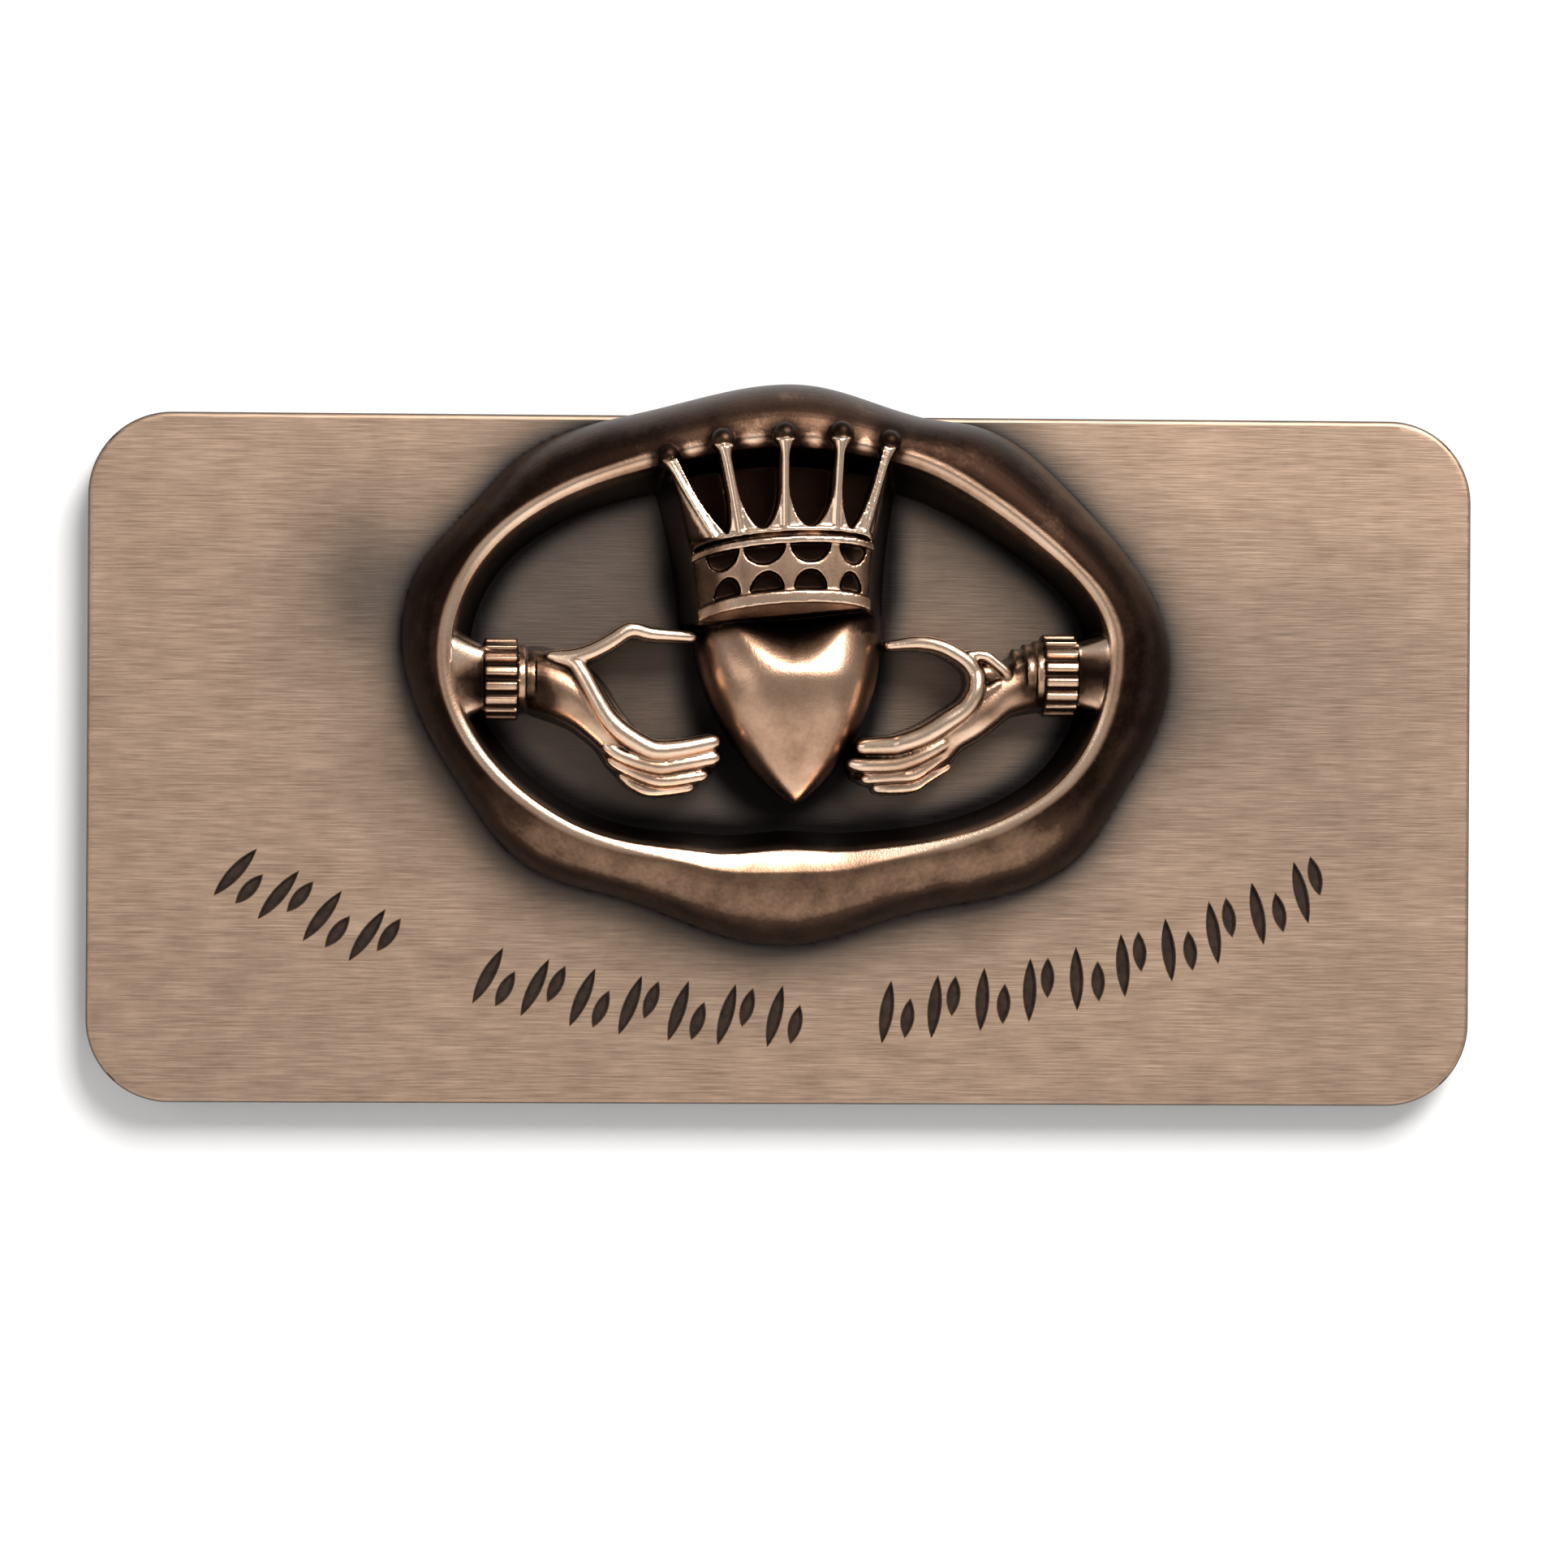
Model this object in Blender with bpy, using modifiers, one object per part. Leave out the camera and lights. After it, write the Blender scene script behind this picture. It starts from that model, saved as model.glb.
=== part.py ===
"""Bronze wall plaque: a brushed plate with rows of chiselled strokes, and a cast Claddagh relief fixed on it.

The relief is modelled lying flat: X to the right, Y up the plaque, Z towards the viewer. An empty then
stands everything upright, so the plaque's back lies in the plane Y = 0 and its face looks along -Y.
"""

from math import atan2, cos, degrees, hypot, pi, radians, sin, sqrt, tan

import bmesh
import bpy
from mathutils import Matrix, Vector

MM = 0.001

# Plate
PLATE_WIDTH = 120.0 * MM
PLATE_HEIGHT = 59.6 * MM
PLATE_THICKNESS = 4.0 * MM
PLATE_CORNER_RADIUS = 7.2 * MM
PLATE_EDGE_BEVEL = 0.4 * MM
CORNER_SEGMENTS = 10
EDGE_SEGMENTS = 2
BEVEL_ANGLE = radians(60)
ROUND_PROFILE = 0.5

# Relief as a whole: where its centre lies on the plate, the clearance under its flat seat, and its casting
RELIEF_X = 0.13 * MM
RELIEF_BELOW_TOP = 20.2 * MM
RELIEF_Y = PLATE_HEIGHT / 2 - RELIEF_BELOW_TOP
SEAT_CLEARANCE = 0.3 * MM
ROOT_DEPTH = 1.0 * MM
CAST_GRAIN = 0.2 * MM
CAST_SOFTENING = 2
CAST_TRIANGLES = 7400

# Band: the wavy oval ring that frames the emblem. Swells are (direction in degrees, height over the oval).
# At the foot of the oval its crest laps outwards and dips towards its inner edge
BAND_STEPS = 120
BAND_RISE = 6.2 * MM
BAND_FOOT_RX = 32.3 * MM
BAND_FOOT_RY = 22.8 * MM
BAND_FOOT_SHIFT_X = 0.5 * MM
BAND_FOOT_DROP = 1.25 * MM
BAND_CREST_RX = 29.0 * MM
BAND_CREST_RY = 18.3 * MM
BAND_CREST_WIDTH_ABOVE = 1.1 * MM
BAND_CREST_WIDTH_BELOW = 0.5 * MM
BAND_BEAD_RISE = 0.15 * MM
BAND_CREST_FALL = 0.6 * MM
BAND_INNER_DRAFT = 1.6 * MM
BAND_INNER_DRAFT_ABOVE = 1.2 * MM
LAP_NARROWNESS = 8
LAP_REACH = 1.05 * MM
LAP_WIDTH = 1.4 * MM
LAP_DIP = 0.8 * MM
FLANK_STEPS = 6
BEAD_STEPS = 4
FOOT_SWELLS = [
    (0, 0.7 * MM), (25, -0.3 * MM), (49, 1.0 * MM), (63, 0.05 * MM), (90, 1.4 * MM), (117, 0.7 * MM),
    (142, 1.8 * MM), (155, 1.1 * MM), (167, 1.8 * MM), (198, -0.05 * MM), (218, 1.2 * MM), (236, 0.0),
    (268, 1.6 * MM), (297, 0.0), (324, 1.9 * MM), (343, 0.4 * MM),
]
CREST_SWELLS = [
    (0, -0.45 * MM), (24, -1.95 * MM), (60, -0.4 * MM), (90, 0.0), (125, -0.4 * MM), (170, 0.5 * MM),
    (218, 1.6 * MM), (248, 0.5 * MM), (271, -0.15 * MM), (290, 0.2 * MM), (330, 1.3 * MM),
]

# Heart
HEART_X = 0.0
HEART_LEAN = 0.85 * MM
HEART_TIP_Y = -13.3 * MM
HEART_WIDE_Y = 1.6 * MM
HEART_TOP_Y = 4.6 * MM
HEART_HALF_WIDTH = 8.2 * MM
HEART_POINTEDNESS = 0.68
HEART_TIP_START = 0.004
HEART_RISE = 8.3 * MM
HEART_TIP_RISE_SHARE = 0.45
HEART_SQUARENESS = 2.9
HEART_SHOULDER_SHARE = 0.6
HEART_TOP_DROP = 3.0 * MM
HEART_TOP_CURVE = 1.5
CLEFT_X = 0.6 * MM
CLEFT_LOW_Y = -2.0 * MM
CLEFT_DEPTH = 4.4 * MM
CLEFT_HALF_WIDTH = 5.0 * MM
CLEFT_LOW_WIDTH_SHARE = 0.2
CLEFT_SOFTNESS = 0.25
CLEFT_RIM_CURVE = 1.5
HEART_ROWS = 20
HEART_ROW_CURVE = 1.3
HEART_COLUMNS = 18

# Crown: a bowed block that flares upwards. Turns are degrees round it from its front. Its hoops tilt, and its
# axis leans
CROWN_X = -0.35 * MM
CROWN_TILT_DEG = 4.2
CROWN_LEAN_DEG = 2.0
CROWN_BASE_Y = 2.4 * MM
CROWN_GROOVE_Y = 8.05 * MM
CROWN_TIP_Y = 16.4 * MM
CROWN_BASE_HALF_WIDTH = 7.3 * MM
CROWN_TIP_HALF_WIDTH = 9.5 * MM
CROWN_FLARE_CURVE = 1.6
CROWN_FOOT_SPREAD = 1.7 * MM
CROWN_BOW = 1.4 * MM
CROWN_SIDE_RISE = 6.7 * MM
CROWN_FRONT_RISE = 8.6 * MM
CROWN_BACK_RISE = 2.6 * MM
CROWN_COLUMNS = 18
CROWN_ROWS = 8
LOW_HOOP_WIDTH = 1.0 * MM
HIGH_HOOP_WIDTH = 0.55 * MM
LIP_WIDTH = 0.35 * MM
HOOP_PROUD = 0.3 * MM
HOOP_REACH_DEG = 78
GROOVE_WIDTH = 0.45 * MM
GROOVE_DEPTH = 0.6 * MM
WINDOW_TURNS_DEG = (-41.5, -11.5, 18, 51)
WINDOW_DEPTH = 1.1 * MM
WINDOW_HEIGHT = 1.7 * MM
WINDOW_MARGIN = 0.15 * MM
LOW_WINDOW_HALF_WIDTH = 1.5 * MM
HIGH_WINDOW_HALF_WIDTH = 1.85 * MM
WINDOW_SIDES = 8
POINT_TURNS_DEG = ((-47, -80), (-27, -30), (2, 3), (36, 34), (65, 84))
POINT_HALF_WIDTH = 0.36 * MM
POINT_START_Y = 8.95 * MM
POINT_STEPS = 12
GAP_SETBACK = 0.25 * MM
GAP_REACH_SHARE = 1.15
GAP_STEP_CURVE = 1.6
GAP_ROUND_SHARE = 0.5
GAP_STEPS = 12
CUP_RADIUS = 0.86 * MM
CUP_SHARE = 0.24
CUP_CURVE = 2.2
BALL_RADIUS = 1.1 * MM
BALL_SINK = 1.45 * MM
BALL_LIFT = 0.45 * MM
BALL_SEGMENTS = 16
BALL_ROWS = 12

# Cuffs: a ribbed sleeve, two thin collars on the hand's side, and a neck that flares to the band
LEFT_CUFF_X = 23.1 * MM
LEFT_CUFF_Y = -2.75 * MM
RIGHT_CUFF_X = 22.2 * MM
RIGHT_CUFF_Y = -2.15 * MM
CUFF_LENGTH = 2.85 * MM
CUFF_HALF_HEIGHT = 3.6 * MM
CUFF_RISE = 6.9 * MM
CUFF_RIBS = 8
CUFF_RIB_DEPTH = 0.5 * MM
RIB_PROFILE = ((0.12, 1), (0.28, 0), (0.72, 0), (0.88, 1))
CUFF_ROUNDNESS = 0.7
COLLAR_WIDTH = 0.6 * MM
COLLAR_GAP = 0.22 * MM
COLLAR_HALF_HEIGHTS = (3.0 * MM, 2.7 * MM)
COLLAR_STEP_DOWN = 0.45 * MM
CORE_INSET = 0.4 * MM
CORE_DROP = 1.8 * MM
NECK_HALF_HEIGHT = 2.7 * MM
NECK_FLARE = 1.7 * MM
NECK_RISE = 5.3 * MM
NECK_SWEEP = 0.8 * MM
NECK_CURVE = 1.5
NECK_END = 28.7 * MM
NECK_STEPS = 6
NECK_OVERLAP = 0.9 * MM
ARCH_SEGMENTS = 12
ARCH_SQUARENESS = 2.4

# Hands: each ridge is a path of (x, y, half width, rise) in millimetres from the relief's centre
LEFT_PALM = [
    (-22.6, -2.8, 2.4, 5.5), (-21.3, -2.9, 2.6, 5.6), (-19.5, -3.5, 2.6, 5.7), (-17.6, -4.7, 2.3, 5.9),
    (-16.2, -6.1, 1.9, 6.0), (-14.9, -7.5, 1.7, 5.9), (-13.6, -9.1, 1.8, 5.2), (-11.8, -10.3, 1.9, 4.4),
    (-9.3, -10.4, 1.8, 4.2), (-7.3, -9.9, 1.3, 3.8),
]
LEFT_THUMB = [
    (-20.2, -0.8, 0.5, 5.6), (-18.2, -0.8, 0.7, 6.1), (-16.6, -0.3, 0.7, 6.3), (-15.0, 0.6, 0.68, 6.3),
    (-13.8, 1.4, 0.66, 6.2), (-13.0, 1.5, 0.64, 6.1), (-11.8, 1.2, 0.58, 5.9), (-9.9, 1.05, 0.52, 5.6),
    (-8.2, 0.95, 0.5, 5.2),
]
LEFT_FINGERS = [
    [(-19.9, -0.9, 0.45, 5.7), (-18.4, -1.3, 0.6, 6.1), (-17.5, -2.4, 0.65, 6.4), (-16.5, -4.2, 0.68, 6.5),
     (-15.4, -6.0, 0.72, 6.6), (-14.1, -7.3, 0.76, 6.7), (-12.2, -8.5, 0.8, 6.6), (-11.0, -8.85, 0.8, 6.5),
     (-9.0, -8.65, 0.72, 6.3), (-6.4, -8.1, 0.62, 5.9)],
    [(-15.3, -8.6, 0.5, 5.7), (-13.9, -9.4, 0.58, 5.9), (-11.2, -10.2, 0.62, 6.0), (-9.3, -10.0, 0.62, 5.9),
     (-6.3, -9.45, 0.55, 5.5)],
    [(-15.0, -9.7, 0.42, 4.9), (-14.2, -10.2, 0.46, 5.1), (-12.4, -11.0, 0.5, 5.25),
     (-11.0, -11.4, 0.52, 5.3), (-9.3, -11.3, 0.52, 5.2), (-7.2, -10.95, 0.45, 4.9)],
    [(-14.1, -11.0, 0.36, 4.0), (-13.2, -11.75, 0.4, 4.2), (-11.8, -12.3, 0.44, 4.3),
     (-9.9, -12.2, 0.44, 4.25), (-8.3, -12.0, 0.4, 4.0)],
]
RIGHT_PALM = [
    (21.6, -2.7, 2.3, 5.5), (20.4, -3.0, 2.2, 5.6), (18.5, -3.8, 2.0, 5.8), (16.9, -5.3, 1.75, 6.0),
    (15.7, -6.3, 1.65, 6.0), (14.0, -7.3, 1.7, 5.9), (12.5, -8.8, 1.9, 5.2), (11.1, -9.8, 1.9, 4.4),
    (9.1, -10.2, 1.8, 4.2), (6.6, -10.2, 1.3, 3.8),
]
RIGHT_THUMB = [
    (16.3, -2.4, 0.6, 6.2), (15.7, -1.3, 0.65, 6.3), (14.7, -0.5, 0.62, 6.3), (13.2, 0.25, 0.6, 6.2),
    (11.7, 0.55, 0.6, 6.0), (10.4, 0.5, 0.52, 5.8), (8.8, 0.3, 0.4, 5.4),
]
RIGHT_WEB = [
    [(15.2, -0.6, 0.5, 5.9), (16.9, -0.5, 0.45, 6.0), (17.9, -1.1, 0.45, 5.9), (18.8, -1.9, 0.45, 5.8),
     (19.1, -2.5, 0.5, 5.6)],
    [(16.6, -4.0, 0.5, 6.0), (18.2, -3.0, 0.45, 5.8)],
    [(16.5, -2.1, 1.2, 5.4), (18.3, -2.1, 0.9, 5.3)],
]
RIGHT_FINGERS = [
    [(16.3, -2.2, 0.6, 6.3), (16.3, -3.1, 0.65, 6.5), (16.1, -3.9, 0.65, 6.6), (15.3, -5.1, 0.7, 6.6),
     (13.6, -6.3, 0.75, 6.7), (11.8, -7.4, 0.75, 6.6), (9.9, -8.1, 0.72, 6.5), (9.0, -8.3, 0.72, 6.3),
     (6.6, -8.4, 0.6, 5.9)],
    [(14.6, -7.2, 0.5, 5.6), (13.7, -7.9, 0.55, 5.8), (12.2, -8.8, 0.6, 6.0), (10.7, -9.5, 0.62, 6.0),
     (9.2, -9.9, 0.62, 5.9), (6.7, -10.0, 0.58, 5.6), (5.8, -9.9, 0.5, 5.3)],
    [(14.4, -8.5, 0.42, 4.9), (13.5, -9.1, 0.46, 5.1), (12.2, -10.0, 0.5, 5.25), (10.9, -10.8, 0.52, 5.3),
     (9.2, -10.95, 0.52, 5.2), (6.9, -11.2, 0.42, 4.8)],
    [(13.9, -10.1, 0.36, 4.0), (12.2, -11.1, 0.4, 4.2), (11.0, -11.8, 0.45, 4.35), (9.2, -12.0, 0.45, 4.2),
     (7.9, -12.0, 0.4, 3.9)],
]
FINGER_FULLNESS = 1.15
RIDGE_SPREAD = 0.22
RIDGE_SEGMENTS = 8
RIDGE_STEPS_PER_POINT = 3
RIDGE_START = ((-0.95, 0.3), (-0.7, 0.7))
RIDGE_END = ((0.7, 0.7), (0.95, 0.3))

# Inscription: two slanting chisel strokes, one long and one short, at each place of a shallow arc. Each group
# of places starts at a length along the arc from its lowest point
INSCRIPTION_RADIUS = 98.0 * MM
INSCRIPTION_ABOVE_FOOT = 7.6 * MM
INSCRIPTION_X = 0.3 * MM
STROKE_STARTS = (-48.7 * MM, -25.1 * MM, 9.8 * MM)
STROKE_PLACES = (4, 7, 10)
STROKE_PITCH = 4.2 * MM
STROKE_SPACING = 1.75 * MM
LONG_STROKE = 5.4 * MM
SHORT_STROKE = 3.4 * MM
SHORT_STROKE_STAGGER = 0.7 * MM
STROKE_WIDTH = 1.1 * MM
STROKE_DEPTH = 0.4 * MM
STROKE_LEAN_DEG = 14
STROKE_SIDES = 5

# Finish
PLATE_COLOR = (0.42, 0.26, 0.17, 1.0)
PLATE_ROUGHNESS = 0.45
RELIEF_COLOR = (0.30, 0.17, 0.10, 1.0)
RELIEF_ROUGHNESS = 0.35
SHARP_ANGLE = radians(40)

CLEARANCE_CUT = 1.0 * MM
WELD = 0.01 * MM
SIDEWAYS = Matrix(((0, 0, 1, 0), (1, 0, 0, 0), (0, 1, 0, 0), (0, 0, 0, 1)))


def clear_scene():
    for old in list(bpy.data.objects):
        bpy.data.objects.remove(old, do_unlink=True)


def bronze(name, color, roughness):
    material = bpy.data.materials.new(name)
    material.use_nodes = True
    shader = material.node_tree.nodes["Principled BSDF"]
    shader.inputs["Base Color"].default_value = color
    shader.inputs["Metallic"].default_value = 1.0
    shader.inputs["Roughness"].default_value = roughness
    return material


def mesh_object(name, bm):
    """A new object from a bmesh, with its faces turned outwards."""
    bmesh.ops.recalc_face_normals(bm, faces=bm.faces)
    mesh = bpy.data.meshes.new(name)
    bm.to_mesh(mesh)
    bm.free()
    made = bpy.data.objects.new(name, mesh)
    bpy.context.scene.collection.objects.link(made)
    return made


def evaluated_mesh(thing):
    depsgraph = bpy.context.evaluated_depsgraph_get()
    return bpy.data.meshes.new_from_object(thing.evaluated_get(depsgraph))


def apply_modifiers(thing):
    """Gives the object its evaluated mesh, and drops the modifiers."""
    mesh = evaluated_mesh(thing)
    thing.modifiers.clear()
    thing.data = mesh
    return thing


def loft(name, rings, closed=False):
    """A solid through equal rings of points: a loop if it is closed, or else with a flat cap at each end."""
    bm = bmesh.new()
    rows = [[bm.verts.new(point) for point in ring] for ring in rings]
    spans = len(rows) if closed else len(rows) - 1
    for i in range(spans):
        here = rows[i]
        after = rows[(i + 1) % len(rows)]
        for j in range(len(here)):
            k = (j + 1) % len(here)
            bm.faces.new((here[j], here[k], after[k], after[j]))
    if not closed:
        bm.faces.new(rows[0])
        bm.faces.new(reversed(rows[-1]))
    return mesh_object(name, bm)


def prism(name, outline, low, high):
    """A straight prism over a flat outline of (x, y) pairs, between two heights."""
    curve = bpy.data.curves.new(name, "CURVE")
    curve.dimensions = "2D"
    curve.fill_mode = "BOTH"
    curve.extrude = (high - low) / 2
    spline = curve.splines.new("POLY")
    spline.points.add(len(outline) - 1)
    for point, (x, y) in zip(spline.points, outline):
        point.co = (x, y, 0, 1)
    spline.use_cyclic_u = True
    drawn = bpy.data.objects.new(name, curve)
    bpy.context.scene.collection.objects.link(drawn)
    bm = bmesh.new()
    bm.from_mesh(evaluated_mesh(drawn))
    bpy.data.objects.remove(drawn, do_unlink=True)
    bmesh.ops.remove_doubles(bm, verts=bm.verts, dist=WELD)
    bmesh.ops.translate(bm, vec=(0, 0, (low + high) / 2), verts=bm.verts)
    return mesh_object(name, bm)


def cut(target, tool):
    """Cuts the tool out of the target, and removes the tool."""
    modifier = target.modifiers.new(tool.name, "BOOLEAN")
    modifier.operation = "DIFFERENCE"
    modifier.solver = "EXACT"
    modifier.object = tool
    apply_modifiers(target)
    bpy.data.objects.remove(tool, do_unlink=True)
    return target


def swell(angle, table):
    """A wavy outline's height over its oval, eased between the table's (degrees, height) pairs."""
    turn = degrees(angle) % 360
    for i, (start, low) in enumerate(table):
        end, high = table[(i + 1) % len(table)]
        span = (end - start) % 360
        along = (turn - start) % 360
        if along < span:
            return low + (high - low) * (1 - cos(pi * along / span)) / 2
    return table[0][1]


def oval(angle, rx, ry, table):
    return 1.0 / hypot(cos(angle) / rx, sin(angle) / ry) + swell(angle, table)


def band_section(angle):
    """Foot, outer crest, inner crest and inner foot of the band in one direction, and its share of lap."""
    toward = Vector((cos(angle), sin(angle), 0))
    above = 0.5 + 0.5 * sin(angle)
    lap = max(0.0, -sin(angle)) ** LAP_NARROWNESS
    foot = toward * oval(angle, BAND_FOOT_RX, BAND_FOOT_RY, FOOT_SWELLS)
    foot += Vector((BAND_FOOT_SHIFT_X, -BAND_FOOT_DROP, 0))
    crest = toward * (oval(angle, BAND_CREST_RX, BAND_CREST_RY, CREST_SWELLS) + LAP_REACH * lap)
    width = BAND_CREST_WIDTH_BELOW + (BAND_CREST_WIDTH_ABOVE - BAND_CREST_WIDTH_BELOW) * above
    inner_crest = crest - toward * (width + LAP_WIDTH * lap)
    draft = BAND_INNER_DRAFT + BAND_INNER_DRAFT_ABOVE * max(0.0, sin(angle)) ** 2
    return foot, crest, inner_crest, inner_crest - toward * draft, lap


def make_band():
    """A rounded flank outside, a narrow crest that falls inwards, and a straight draft inside."""
    rings = []
    root = Vector((0, 0, ROOT_DEPTH))
    for i in range(BAND_STEPS):
        angle = 2 * pi * i / BAND_STEPS
        foot, crest, inner_crest, inner, lap = band_section(angle)
        above = 0.5 + 0.5 * sin(angle)
        bead = BAND_BEAD_RISE * above
        fall = BAND_CREST_FALL * above
        ring = [foot - root]
        for step in range(FLANK_STEPS + 1):
            turn = pi / 2 * step / FLANK_STEPS
            ring.append(foot.lerp(crest, 1 - cos(turn)) + Vector((0, 0, BAND_RISE * sin(turn))))
        for step in range(1, BEAD_STEPS + 1):
            turn = pi * step / BEAD_STEPS
            across = (1 - cos(turn)) / 2
            up = BAND_RISE + bead * sin(turn) - (LAP_DIP * lap + fall * (1 - lap)) * across
            ring.append(crest.lerp(inner_crest, across) + Vector((0, 0, up)))
        ring.append(inner)
        ring.append(inner - root)
        rings.append(ring)
    return loft("band", rings, closed=True)


def arch(half_width, rise, segments=ARCH_SEGMENTS, squareness=ARCH_SQUARENESS):
    """Half a superellipse as (across, up) pairs, from one foot over the top to the other."""
    points = []
    for i in range(segments + 1):
        turn = pi * i / segments
        across = -half_width * abs(cos(turn)) ** (2 / squareness) * (1 if cos(turn) > 0 else -1)
        points.append((across, rise * abs(sin(turn)) ** (2 / squareness)))
    return points


def spline_value(before, start, end, after, t):
    """One number of a Catmull-Rom curve, a share t of the way from start to end."""
    slope = (end - before) / 2
    next_slope = (after - start) / 2
    rest = end - start
    curve = (3 * rest - 2 * slope - next_slope) * t**2 + (slope + next_slope - 2 * rest) * t**3
    return start + slope * t + curve


def smooth_path(points):
    """A Catmull-Rom curve through tuples of numbers."""
    path = [points[0]] + list(points) + [points[-1]]
    result = []
    for i in range(1, len(path) - 2):
        for k in range(RIDGE_STEPS_PER_POINT):
            share = k / RIDGE_STEPS_PER_POINT
            result.append(tuple(spline_value(*values, share) for values in zip(*path[i - 1:i + 3])))
    result.append(tuple(points[-1]))
    return result


def ridge_ring(middle, across, half_width, rise):
    """A ridge's section: a round top on straight sides that spread a little towards the root."""
    foot = half_width * (1 + RIDGE_SPREAD)
    shoulder = rise - half_width
    ring = [middle - across * foot - Vector((0, 0, ROOT_DEPTH))]
    for i in range(RIDGE_SEGMENTS + 1):
        turn = pi * i / RIDGE_SEGMENTS
        up = Vector((0, 0, shoulder + half_width * sin(turn)))
        ring.append(middle - across * (half_width * cos(turn)) + up)
    ring.append(middle + across * foot - Vector((0, 0, ROOT_DEPTH)))
    return ring


def ridge(name, points_mm, fullness):
    """A round-topped ridge along a path, its half widths scaled by a fullness, down to the root."""
    path = smooth_path([[value * MM for value in point] for point in points_mm])
    rings = []
    last = len(path) - 1
    for i, (x, y, drawn_half_width, rise) in enumerate(path):
        half_width = drawn_half_width * fullness
        x0, y0 = path[max(i - 1, 0)][:2]
        x1, y1 = path[min(i + 1, last)][:2]
        heading = atan2(y1 - y0, x1 - x0)
        along = Vector((cos(heading), sin(heading), 0))
        across = Vector((-sin(heading), cos(heading), 0))
        start = RIDGE_START if i == 0 else ()
        end = RIDGE_END if i == last else ()
        for reach, share in (*start, (0, 1), *end):
            drop = half_width * (1 - share)
            spot = Vector((x, y, 0)) + along * half_width * reach
            rings.append(ridge_ring(spot, across, half_width * share, rise - drop))
    return loft(name, rings)


def make_ridges(name, paths, fullness=1.0):
    return [ridge(f"{name}_{number}", path, fullness) for number, path in enumerate(paths)]


def sleeve(name, centre_y, x_start, x_end, section):
    """A solid that carries one (across, up) section from x_start to x_end, over the height centre_y."""
    outline = [(centre_y + across, up) for across, up in section]
    made = prism(name, outline, min(x_start, x_end), max(x_start, x_end))
    made.data.transform(SIDEWAYS)
    return made


def rooted(section):
    """The section with its two feet carried down to the relief's root."""
    return [(section[0][0], -ROOT_DEPTH)] + section + [(section[-1][0], -ROOT_DEPTH)]


def ribbed_arch():
    """The cuff's section: ribs with a narrow groove between them."""
    section = [(-CUFF_HALF_HEIGHT, -ROOT_DEPTH)]
    for rib in range(CUFF_RIBS):
        for share, sunk in RIB_PROFILE:
            inset = CUFF_RIB_DEPTH * sunk
            turn = pi * (rib + share) / CUFF_RIBS
            up = (CUFF_RISE - inset) * sin(turn) ** CUFF_ROUNDNESS
            section.append((-(CUFF_HALF_HEIGHT - inset) * cos(turn), up))
    section.append((CUFF_HALF_HEIGHT, -ROOT_DEPTH))
    return section


def make_neck(side, direction, start_x, centre_y):
    """The neck between cuff and band: it widens and rises towards the band's crest."""
    rings = []
    for i in range(NECK_STEPS + 1):
        x = start_x + (NECK_END - start_x) * i / NECK_STEPS
        flare = (i / NECK_STEPS) ** NECK_CURVE
        section = rooted(arch(NECK_HALF_HEIGHT + NECK_FLARE * flare, NECK_RISE + NECK_SWEEP * flare))
        rings.append([Vector((direction * x, centre_y + across, up)) for across, up in section])
    return loft(f"{side}_neck", rings)


def make_cuff(side, direction, near_x, centre_y):
    """Neck, ribbed sleeve and collars on one side; direction is -1 on the left and 1 on the right."""
    def along(name, start, end, section):
        return sleeve(f"{side}_{name}", centre_y, direction * start, direction * end, section)

    far_x = near_x + CUFF_LENGTH
    reach = len(COLLAR_HALF_HEIGHTS) * (COLLAR_WIDTH + COLLAR_GAP)
    core = rooted(arch(COLLAR_HALF_HEIGHTS[-1] - CORE_INSET, CUFF_RISE - CORE_DROP))
    pieces = [
        make_neck(side, direction, far_x - NECK_OVERLAP, centre_y),
        along("cuff", near_x, far_x, ribbed_arch()),
        along("core", near_x - reach - NECK_OVERLAP, near_x + NECK_OVERLAP, core),
    ]
    for number, half_height in enumerate(COLLAR_HALF_HEIGHTS):
        start = near_x - COLLAR_GAP / 2 - number * (COLLAR_WIDTH + COLLAR_GAP)
        section = rooted(arch(half_height, CUFF_RISE - (number + 1) * COLLAR_STEP_DOWN))
        pieces.append(along(f"collar_{number}", start, start - COLLAR_WIDTH, section))
    return pieces


def heart_half_width(y):
    share = (y - HEART_TIP_Y) / (HEART_WIDE_Y - HEART_TIP_Y)
    if share >= 1:
        return HEART_HALF_WIDTH
    return HEART_HALF_WIDTH * sin(pi / 2 * max(share, HEART_TIP_START)) ** HEART_POINTEDNESS


def heart_rise(x, y):
    """The heart's height at a point: full at its front, lower at its tip and shoulders, with a cleft."""
    share = (y - HEART_TIP_Y) / (HEART_TOP_Y - HEART_TIP_Y)
    fullness = sqrt(min(1.0, share / HEART_SHOULDER_SHARE))
    rise = HEART_RISE * (HEART_TIP_RISE_SHARE + (1 - HEART_TIP_RISE_SHARE) * fullness)
    back = max(0.0, (share - HEART_SHOULDER_SHARE) / (1 - HEART_SHOULDER_SHARE))
    rise -= HEART_TOP_DROP * back**HEART_TOP_CURVE
    open_share = max(0.0, (y - CLEFT_LOW_Y) / (HEART_TOP_Y - CLEFT_LOW_Y))
    half_width = CLEFT_HALF_WIDTH * (CLEFT_LOW_WIDTH_SHARE + (1 - CLEFT_LOW_WIDTH_SHARE) * open_share)
    spread = hypot((x - CLEFT_X) / half_width, CLEFT_SOFTNESS) - CLEFT_SOFTNESS
    return rise - CLEFT_DEPTH * open_share * max(0.0, 1 - spread) ** CLEFT_RIM_CURVE


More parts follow.
